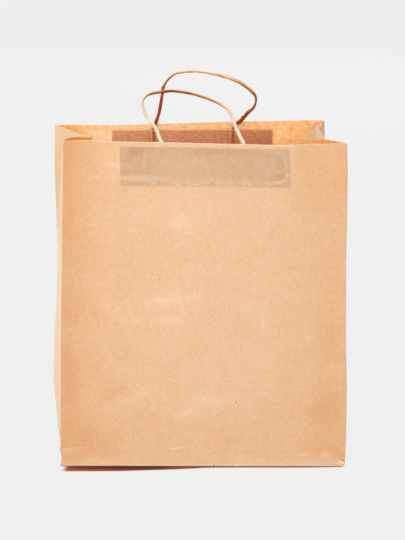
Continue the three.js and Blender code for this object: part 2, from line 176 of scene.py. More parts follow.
def gusset_point(side, s, v):
    out = -1 if side == "L" else 1
    front, back, apex = standing_edge("F" + side, v), standing_edge("B" + side, v), APEX[side]
    crease = apex + (CREASE_TOP[side] - apex) * np.clip((v - HG) / (H - HG), 0, 1)[..., None]
    upper = np.where((s <= HG)[..., None],
                     gusset_half(front, crease, s / HG, v, side + "F", out),
                     gusset_half(back, crease, (G - s) / HG, v, side + "B", out))
    low = np.clip(v, 0, HG)
    d1 = mix(standing_edge("F" + side, 0 * v), apex, low / HG)
    d2 = mix(standing_edge("B" + side, 0 * v), apex, low / HG)
    safe = np.maximum(low, 1e-6)
    front_part = mix(front, d1, np.clip(s / safe, 0, 1))
    back_part = mix(back, d2, np.clip((G - s) / safe, 0, 1))
    t = np.clip((s - low) / np.maximum(G - 2 * low, 1e-6), 0, 1)
    middle = mix(d1, d2, t)
    if side == "L":
        middle[..., 0] += DRAWN_IN * 6.75 * t * (1 - t) ** 2 * (1 - low / HG) ** 2
        middle[..., 2] += RISE * (np.clip(1 - t * G / RISE_SIDE, 0, None) - (1 - t)) * (1 - low / HG)
    lower = np.where((s < low)[..., None], front_part, np.where((s > G - low)[..., None], back_part, middle))
    return np.where((v >= HG)[..., None], upper, lower)


def base_point(u, v):
    """The folded bottom: front and back flaps outside, the side ends tucked in over them."""
    d = -v
    zero = np.zeros_like(u)
    fl, fr = standing_edge("FL", zero), standing_edge("FR", zero)
    bl, br = standing_edge("BL", zero), standing_edge("BR", zero)
    s = np.clip(u, 0, W) / W
    xf = fl[..., 0] + d + (fr[..., 0] - fl[..., 0] - 2 * d) * s
    p_front = np.stack([xf, -100 + d, 0.02 + 0 * d], -1)
    sb = np.clip(W - (u - U_BACK), 0, W) / W
    xb = bl[..., 0] + d + (br[..., 0] - bl[..., 0] - 2 * d) * sb
    p_back = np.stack([xb, 100 - d, 0.02 + 0.3 * step(78, 87, d)], -1)
    tuck = 0.02 + 0.75 * step(0.4, 7, d)
    sr = np.clip(u - U_RIGHT, 0, G)
    p_right = np.stack([fr[..., 0] + (br[..., 0] - fr[..., 0]) * sr / G - d, -100 + sr, tuck], -1)
    sl = np.clip(U_END - u, 0, G)
    drawn = DRAWN_IN * 6.75 * (sl / G) * (1 - sl / G) ** 2 * np.clip(1 - d / 40, 0, 1)
    p_left = np.stack([fl[..., 0] + (bl[..., 0] - fl[..., 0]) * sl / G + d + drawn, -100 + sl, tuck], -1)
    p = np.where((u <= U_RIGHT)[..., None], p_front, np.where((u < U_BACK)[..., None], p_right,
        np.where((u <= U_LEFT)[..., None], p_back, p_left)))
    p[..., 2] += rise_at(p[..., 0], p[..., 1])
    return p


def sharp_point(u, v):
    """Outer face of the sheet. u runs round the bag from the front left edge, v up the paper from the base fold."""
    u = np.mod(u, U_END)
    vv = np.clip(v, 0, H)
    p = np.where((u <= U_RIGHT)[..., None], front_point(np.clip(u, 0, W), vv),
        np.where((u <= U_BACK)[..., None], gusset_point("R", np.clip(u - U_RIGHT, 0, G), vv),
        np.where((u <= U_LEFT)[..., None], back_point(np.clip(W - (u - U_BACK), 0, W), vv),
                 gusset_point("L", np.clip(U_END - u, 0, G), vv))))
    over = np.clip(v - H, 0, None)
    p[..., 2] += over
    return np.where((v < 0)[..., None], base_point(u, np.minimum(v, 0)), p)


def outer_point(u, v, round_u=1.0, round_v=1.0):
    """The same face with its folds rounded off."""
    u, v = np.broadcast_arrays(np.asarray(u, float), np.asarray(v, float))
    ru = round_u * step(-3.0, -0.8, v) * (1 - 0.5 * step(300, 360, v))
    total = np.zeros(u.shape + (3,))
    taps = [(-1.0, 0.09), (-0.6, 0.2), (-0.2, 0.21), (0.2, 0.21), (0.6, 0.2), (1.0, 0.09)]
    for du, wu in taps:
        for dv, wv in taps:
            rv = (round_v + 1.3 * np.exp(-(v / 3.5) ** 2)) * step(0.0, 4.0, H - v)
            total += wu * wv * sharp_point(u + du * ru, v + dv * rv)
    return total


def face_normal(u, v):
    e = 0.6
    du = outer_point(u + e, v) - outer_point(u - e, v)
    dv = outer_point(u, np.minimum(v + e, H)) - outer_point(u, v - e)
    n = np.cross(du, dv)
    return n / np.linalg.norm(n, axis=-1, keepdims=True)


# ------------------------------------------------------------------ handle patches (mm)
PATCH_W, PATCH_H, PATCH_T, GLUE = 190.0, 44.0, 0.2, 0.2
PATCHES = {"front": (159.2, 342.3, math.radians(-0.4)), "back": (162.7, 340.3, math.radians(1.25))}
CORD_AT = {"front": (-47.2, 44.6), "back": (-46.6, 47.4)}
CORD_D, CORD_GLUED = 3.8, 29.0
D_BASE = SHEET_T + GLUE
D_COVER = D_BASE + PATCH_T + GLUE
D_CORD = D_COVER + CORD_D / 2


def patch_point(side, a, b, depth):
    s0, v0, tilt = PATCHES[side]
    s = s0 + a * math.cos(tilt) + b * math.sin(tilt)
    v = v0 + b * math.cos(tilt) - a * math.sin(tilt)
    u = U_BACK + W - s if side == "back" else s
    return outer_point(u, v) - face_normal(u, v) * np.asarray(depth)[..., None]


def patch_coords(side, u, v):
    s0, v0, tilt = PATCHES[side]
    s = (U_BACK + W - u) if side == "back" else u
    ds, dv = s - s0, v - v0
    return ds * math.cos(tilt) - dv * math.sin(tilt), ds * math.sin(tilt) + dv * math.cos(tilt)


# ------------------------------------------------------------------ cord routes (mm)
LOOP = {
    "front": [(-45.9, -85.3, 373.4), (-53.5, -89.3, 391.5), (-63.4, -93.1, 405.4), (-66.7, -96.8, 417.9), (-63.4, -99.7, 424.9),
              (-56.9, -101.8, 429.0), (-44.6, -103.8, 431.2), (-35.6, -104.9, 432.2), (-22.1, -105.7, 431.0), (-8.5, -105.9, 428.1),
              (7.2, -105.8, 423.0), (20.6, -105.1, 416.8), (29.4, -103.5, 409.8), (33.7, -100.2, 399.4), (37.2, -97.4, 389.8),
              (42.6, -94.6, 377.9), (45.8, -93.9, 371.6)],
    "back": [(-45.9, 82.5, 368.8), (-42.2, 83.3, 378.8), (-39.6, 84.3, 390.7), (-37.4, 85.4, 403.7), (-36.2, 86.0, 410.9),
             (-31.4, 87.0, 419.2), (-22.8, 88.4, 426.5), (-13.0, 89.7, 429.4), (1.2, 91.3, 429.9), (15.4, 92.8, 428.3),
             (30.0, 94.0, 424.5), (44.5, 95.2, 419.9), (56.5, 96.1, 413.7), (66.2, 96.6, 406.3), (72.3, 96.8, 399.1),
             (73.2, 96.5, 393.1), (70.3, 95.7, 385.8), (62.2, 94.5, 378.0), (55.3, 93.4, 370.6), (49.3, 92.6, 366.6)],
}


def spline(points, per=24):
    """Centripetal curve through the points."""
    p = np.vstack([2 * points[0] - points[1], points, 2 * points[-1] - points[-2]])
    out = []
    for i in range(1, len(p) - 2):
        p0, p1, p2, p3 = p[i - 1:i + 3]
        d0, d1, d2 = [max(np.linalg.norm(q), 1e-9) ** 0.5 for q in (p1 - p0, p2 - p1, p3 - p2)]
        m1 = ((p1 - p0) / d0 - (p2 - p0) / (d0 + d1) + (p2 - p1) / d1) * d1
        m2 = ((p2 - p1) / d1 - (p3 - p1) / (d1 + d2) + (p3 - p2) / d2) * d1
        t = np.linspace(0, 1, per, endpoint=False)[:, None]
        t2, t3 = t * t, t * t * t
        out.append((2 * t3 - 3 * t2 + 1) * p1 + (t3 - 2 * t2 + t) * m1 + (3 * t2 - 2 * t3) * p2 + (t3 - t2) * m2)
    out.append(points[-1:])
    return np.vstack(out)


def respace(points, n):
    seg = np.linalg.norm(np.diff(points, axis=0), axis=1)
    at = np.concatenate([[0], np.cumsum(seg)])
    q = np.linspace(0, at[-1], n)
    return np.stack([np.interp(q, at, points[:, k]) for k in range(3)], -1), at[-1]


def cord_route(side, n):
    foot = PATCH_H / 2 - CORD_GLUED
    rows = np.array([foot, foot + 10, foot + 20, PATCH_H / 2])
    left = patch_point(side, np.full(4, CORD_AT[side][0]), rows, np.full(4, D_CORD))
    right = patch_point(side, np.full(4, CORD_AT[side][1]), rows, np.full(4, D_CORD))
    return respace(spline(np.vstack([left, np.array(LOOP[side]), right[::-1]])), n)


# ------------------------------------------------------------------ noise and mesh helpers
def noise(u, v, size, seed, around=U_END):
    """Smooth seeded value noise in -1..1; it closes on itself round the bag."""
    nu = max(2, int(round(around / size)))
    nv = int(600 / size) + 6
    grid = np.random.default_rng(seed).uniform(-1, 1, (nu, nv))
    x = np.mod(u, around) / around * nu
    y = (v + 150) / size
    i, j = np.floor(x).astype(int), np.floor(y).astype(int)
    fx, fy = x - i, y - j
    fx, fy = fx * fx * fx * (fx * (6 * fx - 15) + 10), fy * fy * fy * (fy * (6 * fy - 15) + 10)
    j = np.clip(j, 0, nv - 2)
    a, b = grid[i % nu, j], grid[(i + 1) % nu, j]
    c, d = grid[i % nu, j + 1], grid[(i + 1) % nu, j + 1]
    return (a + (b - a) * fx) * (1 - fy) + (c + (d - c) * fx) * fy


def line_distance(x, y, points):
    """Distance to a polyline and the share of the way along it."""
    best, along = np.full(np.shape(x), 1e9), np.zeros(np.shape(x))
    total = sum(math.dist(p, q) for p, q in zip(points, points[1:]))
    run = 0.0
    for (x0, y0), (x1, y1) in zip(points, points[1:]):
        dx, dy = x1 - x0, y1 - y0
        t = np.clip(((x - x0) * dx + (y - y0) * dy) / (dx * dx + dy * dy), 0, 1)
        d = np.hypot(x - x0 - t * dx, y - y0 - t * dy)
        near = d < best
        best = np.where(near, d, best)
        along = np.where(near, (run + t * math.hypot(dx, dy)) / total, along)
        run += math.hypot(dx, dy)
    return best, along


def ridge(x, y, points, height, width):
    d, t = line_distance(x, y, points)
    return height * np.exp(-(d / width) ** 2) * step(0, 0.18, t) * step(0, 0.18, 1 - t)


def link(name, verts, faces, materials, smooth=True):
    mesh = bpy.data.meshes.new(name)
    mesh.from_pydata((np.asarray(verts) * MM).tolist(), [], [tuple(int(i) for i in f) for f in faces])
    for m in materials:
        mesh.materials.append(m)
    mesh.polygons.foreach_set("use_smooth", [smooth] * len(mesh.polygons))
    obj = bpy.data.objects.new(name, mesh)
    bpy.context.scene.collection.objects.link(obj)
    return obj


def set_uv(mesh, name, uv):
    layer = mesh.uv_layers.new(name=name)
    loops = np.zeros(len(mesh.loops), int)
    mesh.loops.foreach_get("vertex_index", loops)
    layer.data.foreach_set("uv", np.asarray(uv, float)[loops].ravel())


def set_attribute(mesh, name, values):
    layer = mesh.attributes.new(name, "FLOAT", "POINT")
    layer.data.foreach_set("value", np.asarray(values, np.float32).ravel())


def sheet_faces(rows, cols, wrap):
    """Quads of a closed sheet made of an outer and an inner grid; returns the outer, inner and rim faces."""
    r, c = np.meshgrid(np.arange(rows - 1), np.arange(cols if wrap else cols - 1), indexing="ij")
    c2 = (c + 1) % cols
    a, b, d, e = r * cols + c, r * cols + c2, (r + 1) * cols + c, (r + 1) * cols + c2
    outer = np.stack([a, b, e, d], -1).reshape(-1, 4)
    off = rows * cols
    inner = outer[:, ::-1] + off
    rim = []
    cc = np.arange(cols if wrap else cols - 1)
    cc2 = (cc + 1) % cols
    rim.append(np.stack([cc2, cc, cc + off, cc2 + off], -1))
    t = (rows - 1) * cols
    rim.append(np.stack([t + cc, t + cc2, t + cc2 + off, t + cc + off], -1))
    if not wrap:
        rr = np.arange(rows - 1)
        lo, hi = rr * cols, (rr + 1) * cols
        rim.append(np.stack([lo, hi, hi + off, lo + off], -1))
        lo, hi = lo + cols - 1, hi + cols - 1
        rim.append(np.stack([hi, lo, lo + off, hi + off], -1))
    return outer, inner, np.vstack(rim)


def grid_normals(p, wrap):
    """Vertex normals of a grid of points, rows by columns."""
    if wrap:
        du = np.roll(p, -1, 1) - np.roll(p, 1, 1)
    else:
        du = np.gradient(p, axis=1)
    dv = np.gradient(p, axis=0)
    n = np.cross(du, dv)
    length = np.linalg.norm(n, axis=-1, keepdims=True)
    return n / np.maximum(length, 1e-9)


# ------------------------------------------------------------------ materials
def new_material(name, roughness, specular=0.25):
    m = bpy.data.materials.new(name)
    m.use_nodes = True
    nt = m.node_tree
    bsdf = nt.nodes["Principled BSDF"]
    bsdf.inputs["Roughness"].default_value = roughness
    bsdf.inputs["Specular IOR Level"].default_value = specular
    return m, nt, bsdf


def add(nt, kind, **inputs):
    node = nt.nodes.new(kind)
    for key, value in inputs.items():
        node.inputs[key.replace("_", " ")].default_value = value
    return node


def uv_scaled(nt, name, scale, turn=0.0):
    uv = nt.nodes.new("ShaderNodeUVMap")
    uv.uv_map = name
    mapping = nt.nodes.new("ShaderNodeMapping")
    mapping.vector_type = "TEXTURE"
    mapping.inputs["Scale"].default_value = tuple(1 / q for q in scale)
    mapping.inputs["Rotation"].default_value = (0, 0, math.radians(turn))
    nt.links.new(uv.outputs["UV"], mapping.inputs["Vector"])
    return mapping.outputs["Vector"]


def noise_node(nt, vector, scale, detail=2.0, rough=0.5, distort=0.0):
    n = add(nt, "ShaderNodeTexNoise", Scale=scale, Detail=detail, Roughness=rough, Distortion=distort)
    nt.links.new(vector, n.inputs["Vector"])
    return n.outputs["Fac"]


def ramp(nt, fac, stops):
    node = nt.nodes.new("ShaderNodeValToRGB")
    els = node.color_ramp.elements
    while len(els) < len(stops):
        els.new(0.5)
    for el, (pos, col) in zip(els, stops):
        el.position = pos
        el.color = tuple(col) + (1.0,) if len(col) == 3 else col
    nt.links.new(fac, node.inputs["Fac"])
    return node.outputs["Color"]


def blend(nt, kind, a, b, fac):
    """Colour mix: a and b are sockets or colours, fac a socket or number."""
    node = nt.nodes.new("ShaderNodeMix")
    node.data_type = "RGBA"
    node.blend_type = kind
    for socket, value in ((node.inputs[6], a), (node.inputs[7], b), (node.inputs[0], fac)):
        if isinstance(value, bpy.types.NodeSocket):
            nt.links.new(value, socket)
        elif isinstance(value, (int, float)):
            socket.default_value = value
        else:
            socket.default_value = tuple(value) + (1.0,)
    return node.outputs[2]


def attribute(nt, name):
    node = nt.nodes.new("ShaderNodeAttribute")
    node.attribute_name = name
    return node.outputs["Fac"]


def bump(nt, bsdf, height, strength, distance):
    node = add(nt, "ShaderNodeBump", Strength=strength, Distance=distance)
    nt.links.new(height, node.inputs["Height"])
    nt.links.new(node.outputs["Normal"], bsdf.inputs["Normal"])


def kraft(name, pale, deep, contrast, size, sheen, stretch, turn, octaves, rough):
    """Kraft paper: mottled pulp with short tangled fibres, slow clouds and a few dark specks."""
    m, nt, bsdf = new_material(name, 0.72, 0.3)
    bsdf.inputs["Sheen Weight"].default_value = sheen
    bsdf.inputs["Sheen Roughness"].default_value = 0.4
    flat = uv_scaled(nt, "sheet", (1, 1, 1))
    mottle = noise_node(nt, uv_scaled(nt, "sheet", stretch, turn), size, octaves, rough, 0.3)
    fibre = noise_node(nt, uv_scaled(nt, "sheet", (0.6, 1.5, 1), -24), 900, 2, 0.6, 0.8)
    grain = noise_node(nt, flat, 1150, 1, 0.5)
    cloud = noise_node(nt, flat, 42, 3, 0.6)
    broad = noise_node(nt, flat, 150, 2, 0.5)
    col = ramp(nt, mottle, [(0.5 - 0.5 / contrast, deep), (0.5 + 0.5 / contrast, pale)])
    col = blend(nt, "MULTIPLY", col, ramp(nt, cloud, [(0.32, (0.985, 0.945, 0.905)), (0.68, (1, 1, 1))]), 1.0)
    col = blend(nt, "MULTIPLY", col, ramp(nt, broad, [(0.36, (0.985, 0.94, 0.895)), (0.64, (1, 1, 1))]), 1.0)
    col = blend(nt, "MULTIPLY", col, ramp(nt, fibre, [(0.32, (0.985, 0.905, 0.825)), (0.66, (1, 1, 1))]), 1.0)
    col = blend(nt, "MULTIPLY", col, ramp(nt, grain, [(0.34, (0.975, 0.87, 0.775)), (0.64, (1, 1, 1))]), 1.0)
    speck = noise_node(nt, flat, 620, 1, 0.4)
    col = blend(nt, "MULTIPLY", col, ramp(nt, speck, [(0.79, (1, 1, 1)), (0.84, (0.72, 0.6, 0.5))]), 1.0)
    height = blend(nt, "ADD", ramp(nt, mottle, [(0.2, (0, 0, 0)), (0.8, (0.6, 0.6, 0.6))]),
                   ramp(nt, fibre, [(0.2, (0, 0, 0)), (0.8, (0.6, 0.6, 0.6))]), 1.0)
    bump(nt, bsdf, height, 0.3, 0.00022)
    return m, nt, bsdf, col


# dark specks of pulp on the front, and painted shade along the lower right crease and in the dent at the bottom edge:
# place on the sheet, radius, tint
SPECKS_AND_CREASE_SHADE = [(195.5, 75.2, 1.0, (0.40, 0.24, 0.15)), (267.8, 75.1, 0.9, (0.60, 0.44, 0.34)), (279.8, 49.8, 0.9, (0.58, 0.38, 0.25)), (9.6, 151.9, 0.9, (0.50, 0.30, 0.18)),
          (319.6, 6.2, 1.7, (0.54, 0.36, 0.25)), (317.8, 7.3, 1.5, (0.70, 0.54, 0.42)), (315.8, 8.6, 1.6, (0.83, 0.70, 0.58)), (313.4, 10.1, 1.7, (0.90, 0.80, 0.69)),
          (172.4, 0.7, 1.3, (0.30, 0.18, 0.12)),
          (109.3, 214.6, 0.9, (0.50, 0.38, 0.28)), (209.8, 224.2, 0.8, (0.62, 0.47, 0.37)), (252.3, 190.6, 0.8, (0.74, 0.62, 0.52)), (258.0, 314.2, 0.8, (0.76, 0.66, 0.57))]


# small pale nicks in the bottom edge, and a painted highlight on the facet below the lower right crease: place, radius,
# strength
NICKS_AND_HIGHLIGHTS = [(170.3, 2.7, 1.5, 0.5), (197.4, 1.2, 1.8, 0.8), (197.8, -0.6, 1.6, 0.8), (318.4, 4.4, 1.6, 0.34), (316.2, 5.2, 1.8, 0.26), (313.4, 5.8, 2.2, 0.16)]


def kraft_outside():
    m, nt, bsdf, col = kraft("kraft_outside", (0.699, 0.566, 0.428), (0.689, 0.419, 0.240), 2.2, 540, 0.12, (0.75, 1.25, 1), 14, 2, 0.6)
    # deeper orange: uneven colour of the paper, and painted shade near edges, creases and folds
    col = blend(nt, "MULTIPLY", col, (0.90, 0.76, 0.60), attribute(nt, "warm_and_shade"))
    # darker: the patches showing through the paper, and painted shade along and beyond the short crease of the right
    # gusset
    col = blend(nt, "MULTIPLY", col, (0.60, 0.585, 0.57), attribute(nt, "ghost_and_fold_shade"))
    # lighter: scuffed paper at folds and edges, and painted highlights on wrinkle ridges, folds, the rim and facets
    # that face the light
    col = blend(nt, "MIX", col, (0.86, 0.74, 0.56), attribute(nt, "worn_and_highlight"))
    col = blend(nt, "MULTIPLY", col, (1.0, 0.99, 0.78), attribute(nt, "straw"))
    # thin pale lines over the front patch: painted highlights on fine wrinkles
    curl = noise_node(nt, uv_scaled(nt, "sheet", (1, 1, 1)), 300, 1, 0.4, 1.4)
    thin = blend(nt, "MULTIPLY", ramp(nt, curl, [(0.455, (0, 0, 0)), (0.5, (1, 1, 1)), (0.545, (0, 0, 0))]), attribute(nt, "crinkle_highlight"), 1.0)
    col = blend(nt, "MIX", col, (0.86, 0.74, 0.56), thin)
    for s, v, r, tint in SPECKS_AND_CREASE_SHADE:
        gap = nt.nodes.new("ShaderNodeVectorMath")
        gap.operation = "DISTANCE"
        nt.links.new(uv_scaled(nt, "sheet", (1, 1, 1)), gap.inputs[0])
        gap.inputs[1].default_value = (s * MM, v * MM, 0)
        spread_node = add(nt, "ShaderNodeMapRange")
        spread_node.inputs["From Max"].default_value = r * MM
        nt.links.new(gap.outputs["Value"], spread_node.inputs["Value"])
        col = blend(nt, "MULTIPLY", col, ramp(nt, spread_node.outputs[0], [(0.45, tint), (1.0, (1, 1, 1))]), 1.0)
    for s, v, r, strength in NICKS_AND_HIGHLIGHTS:
        gap = nt.nodes.new("ShaderNodeVectorMath")
        gap.operation = "DISTANCE"
        nt.links.new(uv_scaled(nt, "sheet", (1, 1, 1)), gap.inputs[0])
        gap.inputs[1].default_value = (s * MM, v * MM, 0)
        spread_node = add(nt, "ShaderNodeMapRange")
        spread_node.inputs["From Max"].default_value = r * MM
        nt.links.new(gap.outputs["Value"], spread_node.inputs["Value"])
        col = blend(nt, "MIX", col, (0.88, 0.77, 0.60), ramp(nt, spread_node.outputs[0], [(0.3, (strength, strength, strength)), (1.0, (0, 0, 0))]))
    nt.links.new(col, bsdf.inputs["Base Color"])
    return m


def kraft_inside():
    # the inner face: lighter and more orange than the outside, partly the paper's own inner face and partly painted
    # light that comes through the paper
    m, nt, bsdf, col = kraft("kraft_inside", (0.925, 0.86, 0.625), (0.925, 0.50, 0.14), 3.7, 185, 0.0, (0.85, 1.25, 1), 20, 4, 0.74)
    # painted light on the inner face of the back
    col = blend(nt, "MIX", col, (0.96, 0.83, 0.56), attribute(nt, "painted_light"))
    # painted shade inside the gusset halves and towards the ends of the back, deepened to orange where light comes
    # through the paper
    col = blend(nt, "MULTIPLY", col, (1.0, 0.60, 0.15), attribute(nt, "shade"))
    # painted shade
    col = blend(nt, "MULTIPLY", col, (0.85, 0.77, 0.68), attribute(nt, "dim"))
    # painted shade, grey, varying with height
    col = blend(nt, "MULTIPLY", col, (0.827, 0.80, 0.774), attribute(nt, "shade_by_height"))
    nt.links.new(col, bsdf.inputs["Base Color"])
    return m


def patch_paper():
    m, nt, bsdf = new_material("patch_paper_brown", 0.85, 0.2)
    flat = uv_scaled(nt, "sheet", (1, 1, 1))
    mottle = noise_node(nt, uv_scaled(nt, "sheet", (0.6, 1.25, 1), 8), 380, 3, 0.66, 0.4)
    cloud = noise_node(nt, flat, 60, 3, 0.6)
    col = ramp(nt, mottle, [(0.33, (0.485, 0.185, 0.074)), (0.67, (0.655, 0.355, 0.208))])
    # painted shade along the patch, with some uneven colour
    col = blend(nt, "MULTIPLY", col, (0.84, 0.68, 0.57), attribute(nt, "shade_along_patch"))
    col = blend(nt, "MULTIPLY", col, ramp(nt, cloud, [(0.3, (0.95, 0.92, 0.89)), (0.7, (1, 1, 1))]), 1.0)
    # painted shade over and beside each ridge over a cord
    col = blend(nt, "MULTIPLY", col, (0.60, 0.37, 0.205), attribute(nt, "ridge_shade"))
    col = blend(nt, "MIX", col, (0.86, 0.56, 0.33), attribute(nt, "worn_and_highlight"))
    nt.links.new(col, bsdf.inputs["Base Color"])
    bump(nt, bsdf, mottle, 0.35, 0.0003)
    return m


def cord_paper():
    m, nt, bsdf = new_material("cord_twisted_paper", 0.85, 0.06)
    lines = noise_node(nt, uv_scaled(nt, "sheet", (1.0, 14.0, 1), 4), 60, 3, 0.6)
    fine = noise_node(nt, uv_scaled(nt, "sheet", (5.0, 34.0, 1), 4), 60, 2, 0.6)
    # painted light and shade along the cord: brown where it is in shade, cream where it is lit
    col = ramp(nt, attribute(nt, "cord_light_and_shade"), [(0.0, (0.215, 0.023, 0.0006)), (0.25, (0.45, 0.158, 0.046)), (0.5, (0.625, 0.32, 0.177)),
                                           (0.75, (0.78, 0.51, 0.325)), (1.0, (0.875, 0.732, 0.59))])
    col = blend(nt, "MULTIPLY", col, ramp(nt, lines, [(0.3, (0.86, 0.79, 0.70)), (0.6, (1, 1, 1))]), 1.0)
    col = blend(nt, "MULTIPLY", col, ramp(nt, fine, [(0.3, (0.92, 0.88, 0.83)), (0.65, (1, 1, 1))]), 1.0)
    nt.links.new(col, bsdf.inputs["Base Color"])
    bump(nt, bsdf, lines, 0.45, 0.0004)
    return m


# ------------------------------------------------------------------ twisted cords
VIEW = np.array(BACK)
# The cord is a flat band of paper twisted loosely. Rows by loop point: half of its width across the loop, then its
# painted light and shade on the inner edge of the loop, in the middle, on the outer edge and behind (0 brown shade, 1
# cream in light).
LIE = {
    "front": [(-2, 1.95, 0.94, 1.00, 0.97, 0.3), (2, 2.02, 0.92, 1.00, 0.97, 0.3), (2.5, 1.74, 0.86, 1.00, 0.97, 0.3), (3, 1.46, 0.74, 0.96, 1.00, 0.3),
              (3.5, 1.04, 0.50, 0.84, 0.98, 0.3), (4, 0.94, 0.18, 0.50, 0.82, 0.4), (4.5, 1.05, 0.05, 0.28, 0.60, 0.6), (5, 1.50, 0.00, 0.18, 0.46, 0.8),
              (5.5, 1.42, 0.00, 0.18, 0.46, 0.8), (6, 1.70, 0.00, 0.06, 0.42, 0.8), (7, 1.42, 0.00, 0.00, 0.28, 0.8), (7.5, 1.48, 0.00, 0.12, 0.46, 0.8),
              (8, 1.55, 0.02, 0.16, 0.44, 0.8), (8.5, 1.34, 0.00, 0.14, 0.44, 0.8), (9, 1.36, 0.00, 0.30, 0.60, 0.7), (9.5, 1.50, 0.02, 0.32, 0.58, 0.7),
              (10, 1.46, 0.08, 0.42, 0.68, 0.6), (10.5, 1.55, 0.14, 0.52, 0.72, 0.6), (11, 1.75, 0.34, 0.72, 0.84, 0.5), (11.5, 1.94, 0.46, 0.84, 0.90, 0.4),
              (12, 2.12, 0.78, 0.98, 0.95, 0.3), (13, 2.02, 0.97, 1.00, 0.97, 0.3), (18, 1.95, 0.94, 1.00, 0.97, 0.3)],
    "back": [(-2, 1.9, 0.00, 0.00, 0.15, 0.8), (0, 1.95, 0.00, 0.00, 0.16, 0.8), (1, 1.78, 0.08, 0.08, 0.14, 0.8), (2, 1.82, 0.05, 0.02, 0.06, 0.8),
             (3, 1.70, 0.09, 0.08, 0.11, 0.8), (4, 1.64, 0.07, 0.10, 0.14, 0.8), (4.5, 1.13, 0.02, 0.06, 0.22, 0.8), (5, 1.10, 0.00, 0.08, 0.30, 0.7),
             (5.5, 1.12, 0.00, 0.22, 0.48, 0.6), (6, 1.16, 0.02, 0.36, 0.75, 0.5), (6.5, 1.58, 0.10, 0.68, 0.96, 0.4), (7, 1.85, 0.10, 0.86, 1.00, 0.3),
             (7.5, 1.98, 0.12, 0.74, 0.98, 0.3), (8, 2.02, 0.46, 0.90, 1.00, 0.3), (8.5, 1.85, 0.34, 0.90, 0.98, 0.3), (9, 2.05, 0.34, 0.90, 1.00, 0.3),
             (9.5, 2.15, 0.20, 0.88, 0.84, 0.3), (10, 1.76, 0.00, 0.52, 0.92, 0.3), (10.5, 2.12, 0.34, 0.84, 0.82, 0.3), (11, 2.12, 0.22, 0.74, 0.82, 0.3),
             (11.5, 2.02, 0.04, 0.56, 0.72, 0.3), (12, 1.96, 0.00, 0.38, 0.60, 0.3), (12.5, 1.90, 0.00, 0.34, 0.58, 0.4), (13, 1.78, 0.02, 0.34, 0.50, 0.5),
             (13.5, 1.95, 0.00, 0.22, 0.38, 0.6), (14, 1.50, 0.00, 0.08, 0.26, 0.7), (14.5, 1.14, 0.02, 0.04, 0.14, 0.8), (15, 1.12, 0.06, 0.02, 0.08, 0.8),
             (15.5, 1.18, 0.26, 0.02, 0.04, 0.8), (16, 1.56, 0.40, 0.10, 0.00, 0.7), (16.5, 1.74, 0.42, 0.10, 0.00, 0.7), (17, 1.92, 0.12, 0.00, 0.00, 0.7),
             (17.5, 1.98, 0.06, 0.00, 0.00, 0.7), (18, 2.02, 0.32, 0.00, 0.00, 0.7), (19, 2.02, 0.48, 0.00, 0.00, 0.7), (19.6, 1.95, 0.74, 0.00, 0.00, 0.7),
             (22, 1.95, 0.45, 0.00, 0.02, 0.7)],
}
# torn flakes of paper standing off the inner side of the back cord, and a kink on its outer side: loop point, height
FLAKES = [(15.9, 0), (16.35, 0.15), (16.55, 1.1), (16.72, 0.8), (17.05, 0.45), (17.3, 0.1), (17.46, 0.2), (17.6, 1.25), (17.72, 0.6), (17.98, 0.35),
          (18.15, 0.95), (18.3, 0.3), (18.6, 0.6), (18.8, 0.1), (19.2, 0.5), (20, 0)]
KINK = [(3.5, 0), (3.8, 0.55), (4.05, 0.6), (4.3, 0)]


